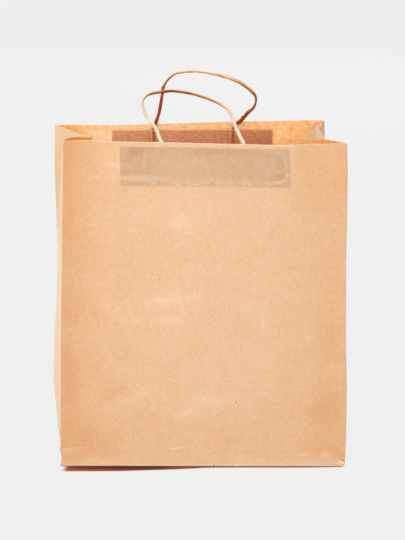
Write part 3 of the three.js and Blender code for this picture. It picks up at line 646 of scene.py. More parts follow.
def make_cord(side, material):
    n, m = 480, 36
    route, length = cord_route(side, n)
    tangent = np.gradient(route, axis=0)
    tangent /= np.linalg.norm(tangent, axis=1, keepdims=True)
    aside = np.cross(tangent, VIEW)
    aside /= np.linalg.norm(aside, axis=1, keepdims=True)
    facing = np.cross(aside, tangent)
    along = np.linspace(0, length, n)
    marks = np.array([along[np.argmin(np.linalg.norm(route - q, axis=1))] for q in np.array(LOOP[side])])

    def by_point(rows):
        at = np.array([row[0] for row in rows], float)
        last = len(marks) - 1
        where = np.interp(at, np.arange(len(marks)), marks) + 10.0 * (np.minimum(at, 0) + np.maximum(at - last, 0))
        return [np.interp(along, where, [row[k] for row in rows]) for k in range(1, len(rows[0]))]

    def soften(values, count=5):
        padded = np.pad(values, count, mode="edge")
        return np.convolve(padded, np.ones(2 * count + 1) / (2 * count + 1), "valid")

    half, inner, middle, outer, behind = [soften(q) for q in by_point(LIE[side])]
    free = step(24, 36, along) * step(24, 36, length - along)
    deep = CORD_D / 2 + free * (np.clip(2.75 / half, 1.3, 2.1) - CORD_D / 2)
    half = CORD_D / 2 + free * (half - CORD_D / 2)
    theta = np.linspace(0, 2 * np.pi, m, endpoint=False)
    wind = along[:, None] * (2 * np.pi / 95.0)
    seed = len(side)
    ridges = 0.045 * np.cos(7 * (theta[None, :] - wind)) + 0.03 * np.cos(11 * (theta[None, :] - 1.3 * wind) + 1.0)
    around = 40 + 12 * np.sin(theta)[None, :] + 0 * along[:, None]
    uneven = 0.06 * noise(along[:, None] + 0 * theta, around, 5.5, 41 + seed) + 0.03 * noise(along[:, None] + 0 * theta, around, 2.2, 43 + seed)
    radial = 1 + free[:, None] * (ridges + uneven)
    off = np.sin(theta)[None, :] * half[:, None] * radial
    if side == "back":
        flake = by_point(FLAKES)[0] * (1 + 0.35 * noise(along, 0 * along, 1.6, 47))
        off = off + flake[:, None] * (np.clip(np.sin(theta), 0, 1) ** 3)[None, :]
        off = off - by_point(KINK)[0][:, None] * (np.clip(-np.sin(theta), 0, 1) ** 3)[None, :]
    p = (route[:, None, :] + (np.cos(theta)[None, :] * deep[:, None] * radial)[..., None] * facing[:, None, :]
         + off[..., None] * aside[:, None, :])
    r, c = np.meshgrid(np.arange(n - 1), np.arange(m), indexing="ij")
    c2 = (c + 1) % m
    quads = np.stack([r * m + c, r * m + c2, (r + 1) * m + c2, (r + 1) * m + c], -1).reshape(-1, 4)
    verts = np.vstack([p.reshape(-1, 3), route[:1], route[-1:]])
    caps = [(n * m, (k + 1) % m, k) for k in range(m)]
    caps += [(n * m + 1, (n - 1) * m + k, (n - 1) * m + (k + 1) % m) for k in range(m)]
    obj = link(side + "_cord_twist", verts, list(quads) + caps, [material])
    # the colour round the cord is painted light and shade, set by which way each point faces
    angle = np.degrees(np.mod(theta + np.pi, 2 * np.pi) - np.pi)
    knots = [-180, -125, -62, -12, 12, 62, 125, 180]
    share = {name: np.interp(angle, knots, row)[None, :] for name, row in (
        ("outer", [0, 1, 1, 0, 0, 0, 0, 0]), ("middle", [0, 0, 0, 1, 1, 0, 0, 0]),
        ("inner", [0, 0, 0, 0, 0, 1, 1, 0]), ("behind", [1, 0, 0, 0, 0, 0, 0, 1]))}
    cord_light_and_shade = (share["outer"] * outer[:, None] + share["middle"] * middle[:, None]
            + share["inner"] * inner[:, None] + share["behind"] * behind[:, None])
    streak = noise(along[:, None] * 0.35 + 0 * theta, 60 + 16 * np.sin(theta - 0.5)[None, :] + 0 * along[:, None], 3.2, 51 + seed)
    cord_light_and_shade = np.clip(cord_light_and_shade + 0.10 * streak * (0.25 + 3 * cord_light_and_shade * (1 - cord_light_and_shade)), 0, 1)
    set_attribute(obj.data, "cord_light_and_shade", np.concatenate([cord_light_and_shade.ravel(), [0.5, 0.5]]))
    uv = np.stack(np.broadcast_arrays(along[:, None] * MM, (theta * 1.9 * MM)[None, :]), -1).reshape(-1, 2)
    set_uv(obj.data, "sheet", np.vstack([uv, uv[:1], uv[-1:]]))
    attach(obj, "root")
    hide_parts(side + "_handle_cord")
    return obj, length


CORD_MATERIAL = cord_paper()
cords = {side: make_cord(side, CORD_MATERIAL) for side in ("front", "back")}

# ------------------------------------------------------------------ the bag sheet
near_edge = [0.35, 0.8, 1.4, 2.2, 3.2, 4.6, 6.6, 9.2]


def fill(lo, hi, size):
    n = max(1, int(round((hi - lo) / size)))
    return np.linspace(lo, hi, n + 1)[1:-1].tolist()


def spread(lo, hi, size, marks, offsets):
    """Columns from lo to hi (open at hi), closer together round the marks."""
    cols = {round(lo, 3)}
    for mark in marks:
        for o in [0.0] + offsets + [-q for q in offsets]:
            if lo < mark + o < hi:
                cols.add(round(mark + o, 3))
    have = sorted(cols) + [hi]
    for a, b in zip(have, have[1:]):
        if b - a > 1.35 * size:
            cols.update(round(x, 3) for x in fill(a, b, size))
    return sorted(cols)


soft = [0.6, 1.3, 2.3, 3.8]
front_cols = sorted(set(spread(0, 62, 3.2, [0], near_edge)) | set(spread(62, 240, 2.3, [64.2], [0.7, 1.6]))
                    | set(spread(240, 256.5, 1.2, [254.2], [0.6])) | set(spread(256.5, W, 3.2, [W], near_edge)))
low_rows = [0.6, 1.3, 2.1, 3.1, 4.4, 5.8, 7.4, 9.2, 11.2, 13.4, 15.8, 17.6, 19.0, 20.0, 21.0, 22.0, 23.2, 24.6, 26.4]
fold_rows = np.round(np.linspace(26.4, HG, 18), 3).tolist()[1:]
on_folds = [0.6, 1.3, 2.1, 3.1, 4.4, 5.8, 7.4, 9.2, 11.2, 13.4, 15.8, 19.0, 22.0, 26.4] + fold_rows
half_cols = sorted(set(on_folds) | {HG - 0.7, HG - 1.8})
gusset_cols = [0.0] + half_cols + [round(G - q, 3) for q in half_cols[::-1][1:]]
right_cols = [U_RIGHT + s for s in sorted(set(gusset_cols) | {179.4, 180.0, 180.6})]
back_cols = [U_BACK + s for s in spread(0, W, 5.6, [0, W], soft)]
left_cols = [U_LEFT + s for s in gusset_cols]
COLS = np.array(front_cols + right_cols + back_cols + left_cols)
ROWS = np.array([-115, -108, -97, -87, -84.5, -78, -66, -52, -38, -25, -14, -8, -5, -3, -2, -1.2, -0.5,
                 0] + low_rows + fold_rows + np.linspace(HG, 316, 48)[1:].tolist()
                + [318, 319.4, 320.4, 321.4] + np.linspace(321.4, 363.4, 22)[1:].tolist()
                + [364.3, 365.2, 366.4, 367.8, 369.0, 370.0])
UU, VV = np.meshgrid(COLS, ROWS)
outer = outer_point(UU, VV)
normal = grid_normals(outer, True)

# distance across the sheet to the nearest upright fold
folds = np.array([0, U_RIGHT, U_RIGHT + HG, U_BACK, U_LEFT, U_LEFT + HG, U_END])
fold_gap = np.min(np.abs(UU[..., None] - folds), axis=-1)
free = step(1.0, 16.0, fold_gap) * step(0.0, 14.0, VV)
lift = free * (0.42 * noise(UU, VV, 62, 1) + 0.20 * noise(UU, VV * 0.8, 27, 2) + 0.055 * noise(UU, VV, 11, 3))
lift *= 1 - 0.55 * step(345, 369, VV)

# the gussets were pressed flat against the panels: faint upright imprints
on_front = UU <= U_RIGHT
on_back = (UU >= U_BACK) & (UU <= U_LEFT)
s_back = np.where(on_back, U_BACK + W - UU, -999)
for s_at, amount in ((103.3, 0.16), (227.4, 0.16)):
    lift += np.where(on_front, amount * np.exp(-((UU - s_at) / 2.0) ** 2) * step(40, 80, VV) * step(0, 60, 260 - VV), 0)
for s_at in (100.0, 220.0):
    lift += np.where(on_back, 0.2 * np.exp(-((s_back - s_at) / 2.0) ** 2) * step(100, 130, VV) * step(0, 40, 320 - VV), 0)

# wrinkles of the front panel: line, height, width, how much its ridge is painted pale as a highlight
WRINKLES = [
    ([(0.2, 20.0), (8.3, 20.9), (15, 22.2), (21, 22.9)], -0.24, 1.2, 0.0), ([(0.5, 16.5), (8, 17.3), (15, 18.2)], 0.12, 3.0, 0.03),
    ([(123, 18.9), (130, 20.6), (136.5, 23.0)], 0.30, 1.5, 0.22), ([(25.6, 0.6), (29.4, 4.2), (35, 8.6)], 0.34, 3.2, 0.20),
    ([(45, 1.2), (53, 2.6), (61, 1.2)], 0.30, 2.2, 0.22), ([(264, 12.6), (270, 13.8), (277, 14.2)], 0.26, 1.5, 0.20),
    ([(296, 16.0), (298, 11.5), (302, 8.0)], 0.50, 3.4, 0.22), ([(284, 4.0), (290, 9.5), (295.5, 15.5)], 0.34, 2.4, 0.10),
    ([(320, 5.6), (315, 9.3), (309.5, 13.6), (303, 17.5)], -0.42, 1.3, 0.0), ([(319, 2.2), (314, 3.4), (309, 3.2)], 0.40, 2.2, 0.16),
    ([(44, 64), (72, 78), (101, 90.5)], 0.24, 3.2, 0.06), ([(244.5, 284.5), (231, 262), (217, 238.5)], -0.18, 2.4, 0.0),
    ([(160, 241), (190, 239), (217, 237.6)], -0.16, 2.4, 0.0), ([(200, 186), (227, 186.4)], 0.16, 2.0, 0.05),
    ([(171.8, 0), (171.2, 3.6)], -0.5, 1.0, 0.0), ([(166, 7.5), (171, 4.5), (177, 7.0)], 0.26, 1.4, 0.16),
    ([(12, 128), (30, 120), (52, 118)], 0.12, 3.0, 0.0), ([(280, 120), (300, 131), (312, 150)], 0.14, 3.0, 0.0),
    ([(88, 3.0), (97, 4.6), (104, 3.4)], 0.2, 1.6, 0.10), ([(214, 4.0), (226, 6.2), (236, 5.0)], 0.2, 1.8, 0.10),
]
# fine wrinkles over the front patch, in the patch's own coordinates; the last column paints the ridge pale as a
# highlight
PATCH_WRINKLES = [
    ([(-86.5, -13.6), (-83, -14.8), (-78.5, -13.2)], 0.30, 0.9, 0.26), ([(-74, -7.5), (-75.4, -12)], 0.20, 0.8, 0.14), ([(-72, -15.6), (-67, -14.6)], 0.2, 0.9, 0.16),
    ([(-65.5, 16), (-67, 11), (-70, 6)], 0.25, 1.5, 0.14), ([(-58, 14), (-60, 9)], 0.18, 1.3, 0.07),
    ([(-63, -17.5), (-59, -19.4), (-56, -19.0)], 0.26, 0.9, 0.24), ([(-37, -21.2), (-31, -20.6), (-28, -17.6)], 0.28, 0.9, 0.24),
    ([(-20, -18.5), (-12, -19.5), (-3, -18.8)], 0.14, 1.0, 0.08), ([(8, -19), (16, -18), (22, -19.4)], 0.14, 1.0, 0.08),
    ([(36, -17.8), (42, -16.6), (47, -17.6)], 0.18, 1.0, 0.10), ([(54, -16.5), (60, -15)], 0.22, 1.0, 0.14), ([(66, -18.2), (76, -17.8)], 0.2, 1.0, 0.16),
    ([(76, 19.0), (85, 17.8), (89, 13.5), (90.0, 6), (91.4, -6)], 0.22, 0.9, 0.13),
    ([(91.0, -3), (91.7, -7.5), (90.6, -11.5), (88, -14.0), (82, -16.4), (72, -17.6)], 0.30, 0.9, 0.30), ([(58, 13.5), (66, 12.6), (74, 13.8)], -0.18, 1.4, 0.0),
    ([(-40, 16), (-28, 17.2), (-15, 16.4)], 0.14, 1.2, 0.03), ([(10, 15.6), (24, 16.8), (38, 15.8)], 0.14, 1.2, 0.03),
    ([(-108, 3.5), (-100, 0.8), (-94, -1.0)], 0.26, 2.2, 0.20),
]
# soft marks on the front, uneven colour of the paper and painted light and shade of its undulations: place, half
# length, half width, turn, then how pale or (below 0) how deep
MARKS = [
    (133.6, 280, 14, 8, 10, 0.15), (92, 290, 60, 22, 0, 0.04), (124, 192, 28, 6, 4, 0.16), (115, 168, 18, 4, 6, 0.12), (80, 167, 11, 4, 0, 0.11), (51, 183, 20, 7, -10, 0.07),
    (213, 185, 18, 2.4, 0, 0.16), (226, 167, 1.8, 8, 0, 0.16), (167, 77, 20, 7, 3, 0.18), (141, 62, 12, 6, 8, 0.16), (81.5, 79, 24, 5, 28, 0.12), (204, 95, 5, 2, 10, 0.07),
    (297, 14, 3.2, 3.6, 30, 0.17), (301, 7.5, 11, 4.5, -20, 0.13), (312, 3.4, 7, 2.0, -16, 0.16), (272, 14, 5, 1.6, 8, 0.10), (32, 4.5, 6, 3, 30, 0.12),
    (133, 122, 24, 5, 47, -0.24), (198, 31, 24, 12, 0, -0.26), (290, 68, 32, 18, 10, -0.30), (308, 161, 12, 26, 0, -0.16), (63, 88, 15, 5, 30, -0.22), (33, 68, 18, 32, 0, -0.14),
    (146, 238, 15, 5, 0, -0.12), (118, 43, 32, 14, 0, -0.12), (276, 130, 40, 120, 0, -0.20), (312, 15.5, 8, 2.2, -40, -0.55), (286, 20, 12, 5, 0, -0.20),
]
# faint dark lines along two wrinkle valleys: painted shade
FAINT_LINES = [([(244.5, 284.5), (231, 262), (217, 238.5)], 0.24, 3.0), ([(160, 241), (190, 239), (217, 237.6)], 0.20, 2.6)]


def soft_mark(s0, v0, length, width, turn):
    c, t = math.cos(math.radians(turn)), math.sin(math.radians(turn))
    x, y = UU - s0, VV - v0
    return np.where(on_front, np.exp(-((x * c + y * t) / length) ** 2 - ((y * c - x * t) / width) ** 2), 0.0)


worn_and_highlight, deep_mark = np.zeros_like(UU), np.zeros_like(UU)
uneven_mark = 1 + 0.4 * noise(UU, VV, 9, 31) + 0.3 * noise(UU, VV, 4.5, 32)
for s0, v0, length, width, turn, amount in MARKS:
    if amount > 0:
        worn_and_highlight = worn_and_highlight + amount * uneven_mark * soft_mark(s0, v0, length, width, turn)
    else:
        deep_mark = deep_mark - amount * (0.5 + 0.5 * uneven_mark) * soft_mark(s0, v0, length, width, turn)
for points, amount, width in FAINT_LINES:
    deep_mark = deep_mark + np.where(on_front, ridge(UU, VV, points, amount, width), 0)
for points, height, width, shows in WRINKLES:
    lift += np.where(on_front, ridge(UU, VV, points, height, width), 0)
    worn_and_highlight = np.maximum(worn_and_highlight, np.where(on_front, ridge(UU, VV, points, shows, 0.8 * width), 0))

# glued side lap on the right gusset
s_right = UU - U_RIGHT
lift += np.where((UU > U_RIGHT) & (UU < U_BACK), 0.25 * step(179.4, 180.6, s_right) * step(0, 6, 199 - s_right) * step(1, 5, VV), 0)


# the patches press through
ghost_and_fold_shade, deeper, crinkle_highlight = np.zeros_like(UU), np.zeros_like(UU), np.zeros_like(UU)


def spot(a, b, a0, b0, ra, rb):
    return np.exp(-((a - a0) / ra) ** 2 - ((b - b0) / rb) ** 2)


for side, here in (("front", on_front), ("back", on_back)):
    a, b = patch_coords(side, UU, VV)
    edge = 0.9
    a, b = a + 0.03 * b, b - 0.9
    inside = step(-edge, edge, PATCH_W / 2 - np.abs(a)) * step(-edge, edge, PATCH_H / 2 - np.abs(b))
    body = 0.53 + 0.03 * noise(UU, VV, 14, 8) + 0.03 * noise(UU, VV, 6, 9)
    if side == "front":
        body += (0.05 * spot(a, b, -76, 16, 22, 8) - 0.15 * spot(a, b, -66, -13.5, 34, 3.4) - 0.06 * spot(a, b, 10, -18.5, 70, 4) + 0.06 * spot(a, b, 20, 17, 46, 4)
                 - 0.08 * spot(a, b, -10, -2, 44, 10) + 0.03 * spot(a, b, 30, 6, 30, 8) + 0.07 * spot(a, b, 0, 19, 80, 5))
        dark = (0.80 * spot(a, b, -77, 17.5, 10, 5) + 0.42 * spot(a, b, -84, 9, 5, 10) + 0.50 * spot(a, b, -90, -8, 5, 6) + 0.26 * spot(a, b, 22, 16.5, 40, 3.0)
                + 0.45 * spot(a, b, 70, 12.5, 8, 2.6) + 0.60 * spot(a, b, 82, -10, 6, 5) + 0.40 * spot(a, b, 70, -12.5, 6, 2.4) + 0.22 * spot(a, b, 84, 2, 5, 9)
                + 0.16 * spot(a, b, 50, 4, 4, 9) + 0.10 * spot(a, b, 8, 6, 3, 9))
        deeper = np.where(here, inside * np.clip(dark * (1 + 0.3 * noise(UU, VV, 4, 13)), 0, 1), deeper)
        crinkle_highlight = np.where(here, inside * (0.30 * spot(a, b, 10, -18.2, 110, 3.4) + 0.10), crinkle_highlight)
    ghost_and_fold_shade = np.where(here, np.maximum(ghost_and_fold_shade, inside * np.clip(body, 0, 1)), ghost_and_fold_shade)
    press = 0.24 * step(-1.4, 1.4, PATCH_W / 2 - np.abs(a)) * step(-1.4, 1.4, PATCH_H / 2 - np.abs(b))
    press += inside * 0.05 * noise(UU, VV, 5, 10)
    for at in CORD_AT[side]:
        press += 0.20 * np.exp(-((a - at) / 3.4) ** 2) * step(-9, -3, b) * step(-6, 2, PATCH_H / 2 - b)
    if side == "front":
        for points, height, width, shows in PATCH_WRINKLES:
            press += ridge(a, b, points, height, width)
            worn_and_highlight = np.maximum(worn_and_highlight, np.where(here, ridge(a, b, points, shows, width), 0))
    lift += np.where(here, press, 0)

outer = outer + normal * lift[..., None]
normal = grid_normals(outer, True)
inner = outer - normal * SHEET_T
# in the folded bottom every ply lies flat, with its inner face up
inner[ROWS < -2.5] = outer[ROWS < -2.5] + np.array([0, 0, SHEET_T])

# folds scuffed pale and painted with a highlight, deeper orange painted shade near the left fold and the other edges of
# the front, painted shade inside the front gusset halves, deepened to orange where light comes through the paper
along_fold = 0.55 + 0.45 * noise(UU, VV, 17, 21)
worn_and_highlight = np.maximum(worn_and_highlight, 0.10 * along_fold * np.exp(-(np.minimum(UU, U_END - UU) / 0.6) ** 2) * step(0, 6, VV))
worn_and_highlight = np.maximum(worn_and_highlight, 0.10 * along_fold * np.exp(-((UU - U_RIGHT) / 0.7) ** 2) * step(0, 6, VV))
# the back half of the left gusset gets a painted sheen, lighter towards its crease and lower down
sheen_from = np.interp(VV, [60, 235, 245, 267, 284, 296, 319, 341, 370], [-0.05, -0.05, 0.0, 0.06, 0.10, 0.125, 0.165, 0.195, 0.22])
across = np.where((UU > U_LEFT) & (UU <= U_LEFT + HG), (UU - U_LEFT) / HG, -9)
painted_sheen = np.interp(VV, [200, 260], [0.52, 0.46]) * step(-0.022, 0.022, across - sheen_from) * step(0, 0.35, 0.62 - across) * step(1, 8, VV) * step(0, 20, 356 - VV) * np.where(across < -1, 0, 1)
worn_and_highlight = np.maximum(worn_and_highlight, painted_sheen * (1 + 0.12 * noise(UU, VV, 24, 23)))
outer_part = np.maximum(step(0, 0.3, 0.62 - across), step(325, 350, VV))
# a lighter base over the rest of its outer part: painted sheen as well
worn_and_highlight = np.maximum(worn_and_highlight, np.where(across > -1, (0.17 + 0.13 * step(338, 352, VV)) * step(4, 30, VV) * outer_part, 0))
yellow = np.where(across > -1, (0.10 + 0.23 * step(338, 352, VV)) * outer_part, 0) * (1 - np.clip(painted_sheen / 0.46, 0, 1))
straw = np.where(across > -1, (0.28 + 0.17 * step(338, 352, VV)) * outer_part, 0) * (1 - 0.8 * np.clip(painted_sheen / 0.46, 0, 1))
# a pale line along the bottom fold: scuffed paper and a painted highlight where the rounded fold catches the light
worn_and_highlight = np.maximum(worn_and_highlight, np.where(on_front, 0.70 * step(1, 9, UU), 0.35) * (0.7 + 0.2 * noise(UU, VV * 0, 9, 22) + 0.2 * noise(UU, VV * 0, 31, 24)) * np.exp(-((VV - 1.3) / 0.85) ** 2))
worn_and_highlight = np.maximum(worn_and_highlight, 0.30 * along_fold * np.exp(-((UU - U_BACK) / 0.8) ** 2) * step(0, 6, VV))
worn_and_highlight = np.maximum(worn_and_highlight, 0.30 * along_fold * np.exp(-((UU - U_LEFT) / 0.8) ** 2) * step(0, 6, VV))
for crease in (U_RIGHT + HG, U_LEFT + HG):
    worn_and_highlight = np.maximum(worn_and_highlight, 0.22 * along_fold * np.exp(-((UU - crease) / 0.9) ** 2) * step(HG, HG + 8, VV))
worn_and_highlight = np.maximum(worn_and_highlight, np.where(on_front, 0.22, 0.12) * np.exp(-((H - VV) / 0.8) ** 2))
# the back half of the right gusset catches the light along its upper part
across = np.where((UU > U_RIGHT + HG) & (UU < U_BACK), (U_BACK - UU) / HG, -9)
fold_at = FOLD_TOP * np.clip((VV - FOLD_LOW) / (H - FOLD_LOW), 0, 1)
worn_and_highlight = np.maximum(worn_and_highlight, np.where(across > -1, 0.15 * step(0.0, 0.03, across - fold_at) * step(0, 0.4, 1.0 - across) * step(280, 340, VV)
                                 + 0.9 * spot(across, VV, 0.15, 367.5, 0.04, 1.6), 0))
straw = np.maximum(straw, np.where(across > -1, 0.12 * step(0.0, 0.03, across - fold_at) * step(280, 340, VV), 0))
# beyond the short crease the paper faces away from the light: painted shade
beyond = np.where(across > -1, step(-0.015, 0.015, fold_at - across) * step(349, 351.5, VV), 0)
# lower left corner of the front: the paper is bent along a short crease; its lower part looks up and is painted
# lighter, and a narrow band above the crease is painted darker as shade
d_bend, t_bend = line_distance(UU, VV, WRINKLES[0][0])
below = VV < np.interp(UU, [0, 8.3, 15, 21], [20.0, 20.9, 22.2, 22.9])
bend = np.where(on_front & (UU < 32), step(0, 16, 31 - UU), 0.0)
worn_and_highlight = np.maximum(worn_and_highlight, bend * np.where(below, 0.10 * np.exp(-d_bend / 14.0), 0))
worn_and_highlight = np.maximum(worn_and_highlight, np.where(on_front, 0.16 * (spot(*patch_coords("front", UU, VV), -84, -12.5, 30, 2.6) + spot(*patch_coords("front", UU, VV), -108, 2, 8, 2.2)), 0))
low_pale = np.interp(UU, [0, 13, 38, 70, 85, 101, 133, 164, 196, 212, 227, 243, 259, 275, 291, 306, 316, 320],
                     [0.14, 0.13, 0.16, 0.15, 0.10, 0.04, 0.06, 0.0, 0.0, 0.08, 0.11, 0.14, 0.18, 0.21, 0.23, 0.16, 0.2, 0.2])
worn_and_highlight = np.maximum(worn_and_highlight, np.where(on_front, low_pale * np.exp(-(VV / 9.0) ** 2) * (1 + 0.3 * noise(UU, VV, 8, 33)), 0))
# painted shade, deeper orange, towards the edges of the front and in a band above the bent crease; the deep marks add
# painted shade and uneven colour, and the dark spots over the front patch show through the paper
warm_and_shade = np.where(on_front, 0.55 * np.exp(-(UU / 70.0) ** 2) + 0.40 * np.exp(-(UU / 20.0) ** 2) + 0.42 * np.exp(-((W - UU) / 45.0) ** 2)
                + 0.4 * np.exp(-((W - UU) / 1.6) ** 2) + 0.36 * np.exp(-(VV / 70.0) ** 2) + 0.8 * bend * np.where(below, 0.0, np.exp(-(d_bend / 1.8) ** 2) * step(0, 6, 20 - UU)), 0.0) + deep_mark
warm_and_shade = np.clip(np.maximum(warm_and_shade * (1 + 0.22 * noise(UU, VV, 30, 12)), np.maximum(deeper, yellow)), 0, 1)
in_gusset = np.where(UU > U_LEFT, U_END - UU, UU - U_RIGHT)
warm_and_shade = np.maximum(warm_and_shade, np.where(across > -1, np.maximum(0.85 * beyond, 0.10 * step(280, 340, VV) + 0.6 * step(0.30, 0.55, across) * step(0, 0.25, 0.98 - across) * step(300, 345, VV)), 0))
half_in = np.where(((UU > U_LEFT) | ((UU > U_RIGHT) & (UU < U_BACK))) & (in_gusset < HG), step(0, 3, in_gusset), 0.0)
part_in = in_gusset / HG
# painted shade inside the front gusset halves and towards both ends of the back's inner face, deepened to orange where
# light comes through the paper; the dim values are painted shade too
shade = np.where(UU > U_LEFT, np.interp(part_in, [0, 0.4, 0.8, 1], [1, 1, 0.92, 0.9]), np.interp(part_in, [0, 0.45, 0.6, 0.7, 0.85], [0.66, 0.7, 0.72, 0.52, 0.5])) * half_in
shade = shade + np.where(on_back, np.interp(s_back, [0, 15, 20, 26, 34, 44, 110, 150, 180, 230, 320], [0.55, 0.55, 0.32, 0.15, 0.10, 0, 0, 0.07, 0.17, 0.22, 0.27]), 0.0)
dim = np.where(UU > U_LEFT, np.interp(part_in, [0, 0.35, 0.6, 0.95], [1, 1, 0.6, 0]), np.interp(part_in, [0, 0.5, 0.65, 1], [0.75, 0.7, 0.42, 0.38])) * half_in
# painted shade by height on the inner face of the back: none from 345 to 355 mm up, darkest at the rim and fairly dark
# lower down; an even amount on the other inner faces
shade_by_height = np.where(on_back, np.interp(VV, [0, 320, 345, 355, 362, 368.5], [0.6, 0.6, 0.0, 0.0, 0.70, 1.0]), 0.66)
# painted light: lighter zones on the inner face of the back, just below the rim
painted_light = np.where(on_back, np.maximum(np.interp(s_back, [34, 44, 68, 76], [0, 0.36, 0.36, 0]) * (0.35 + 0.65 * step(0, 6, 367 - VV)),
                                     np.interp(s_back, [66, 72, 105, 150, 175], [0, 0.26, 0.24, 0.12, 0])) * step(300, 340, VV), 0.0)

KRAFT_OUT, KRAFT_IN = kraft_outside(), kraft_inside()
rows, cols = UU.shape
q_outer, q_inner, q_rim = sheet_faces(rows, cols, True)
# in two of the four gusset halves the diagonal fold leans the other way, so their facets split the other way
middle_u = COLS[np.arange(len(q_outer)) % cols] + 0.1
turned = ((middle_u > U_RIGHT + HG) & (middle_u < U_BACK)) | (middle_u > U_LEFT + HG)
q_outer = np.where(turned[:, None], np.roll(q_outer, 1, 1), q_outer)
q_inner = np.where(turned[:, None], q_inner, np.roll(q_inner, 1, 1))
bag = link("kraft_bag", np.vstack([outer.reshape(-1, 3), inner.reshape(-1, 3)]), np.vstack([q_outer, q_inner, q_rim]), [KRAFT_OUT, KRAFT_IN])
bag.data.polygons.foreach_set("material_index", [0] * len(q_outer) + [1] * len(q_inner) + [0] * len(q_rim))
# painted shade: a dark line along the short crease of the right gusset and the paper beyond it
ghost_and_fold_shade = np.maximum(ghost_and_fold_shade, 0.12 * beyond + np.where(across > -1, 0.30 * np.exp(-((across - fold_at) / 0.03) ** 2) * step(352, 366, VV), 0))
# the front panel is more straw coloured towards its upper corners
top_right = np.where(on_front, step(250, 268, UU) * (1 - 0.45 * step(280, 300, UU)) * step(275, 318, VV), 0)
top_left = np.where(on_front, np.maximum(0.2 * step(0, 10, 40 - UU) * step(240, 290, VV), 0.22 * step(40, 47, UU) * step(0, 5, 62 - UU) * step(338, 346, VV)), 0)
straw = np.maximum(straw, 0.24 * top_right + top_left)
warm_and_shade = np.clip(warm_and_shade + 0.33 * top_right, 0, 1)
for name, values in (("ghost_and_fold_shade", ghost_and_fold_shade), ("worn_and_highlight", worn_and_highlight), ("warm_and_shade", warm_and_shade), ("shade", shade), ("dim", dim), ("shade_by_height", shade_by_height), ("painted_light", painted_light), ("straw", straw), ("crinkle_highlight", crinkle_highlight)):
    set_attribute(bag.data, name, np.concatenate([values.ravel(), values.ravel()]))
# sheet coordinates in metres; the column that closes the ring repeats the first one's place at the far end
loop_vertex = np.zeros(len(bag.data.loops), int)
bag.data.loops.foreach_get("vertex_index", loop_vertex)
in_outer = loop_vertex < rows * cols
local = np.where(in_outer, loop_vertex, loop_vertex - rows * cols)
lu, lv = COLS[local % cols].copy(), ROWS[local // cols]
per_face = lu.reshape(-1, 4)
wraps = (per_face.max(1) - per_face.min(1)) > U_END / 2
per_face[wraps] = np.where(per_face[wraps] < U_END / 2, per_face[wraps] + U_END, per_face[wraps])
lu = per_face.ravel()
on_rim = np.repeat(np.arange(len(per_face)) >= len(q_outer) + len(q_inner), 4)
sheet_uv = bag.data.uv_layers.new(name="sheet")
sheet_uv.data.foreach_set("uv", np.stack([lu * MM, lv * MM + np.where(in_outer, 0, np.where(on_rim, SHEET_T * MM, 2.0))], -1).ravel())
# the same sheet laid out flat for a painted copy: outer face below, inner face above, the cut edges between them
flat_v = (lv + 116) * MM / 1.06 + np.where(in_outer, 0.0, 0.5)
flat_v = np.where(on_rim, np.where(lv > 0, 0.470, 0.484) + np.where(in_outer, 0.0, 0.006), flat_v)
flat_uv = bag.data.uv_layers.new(name="OFBake")
flat_uv.data.foreach_set("uv", np.stack([0.008 + lu * MM / 1.06, flat_v], -1).ravel())
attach(bag, "root")
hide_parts("bag_body")

# ------------------------------------------------------------------ handle patches
PATCH_PAPER = patch_paper()
RIDGE = [(-7, 0), (-5.4, 0.8), (-3.4, 3.0), (-2.0, 4.0), (-0.7, 4.32), (0.7, 4.32), (2.0, 4.0), (3.4, 3.0), (5.4, 0.8), (7, 0)]


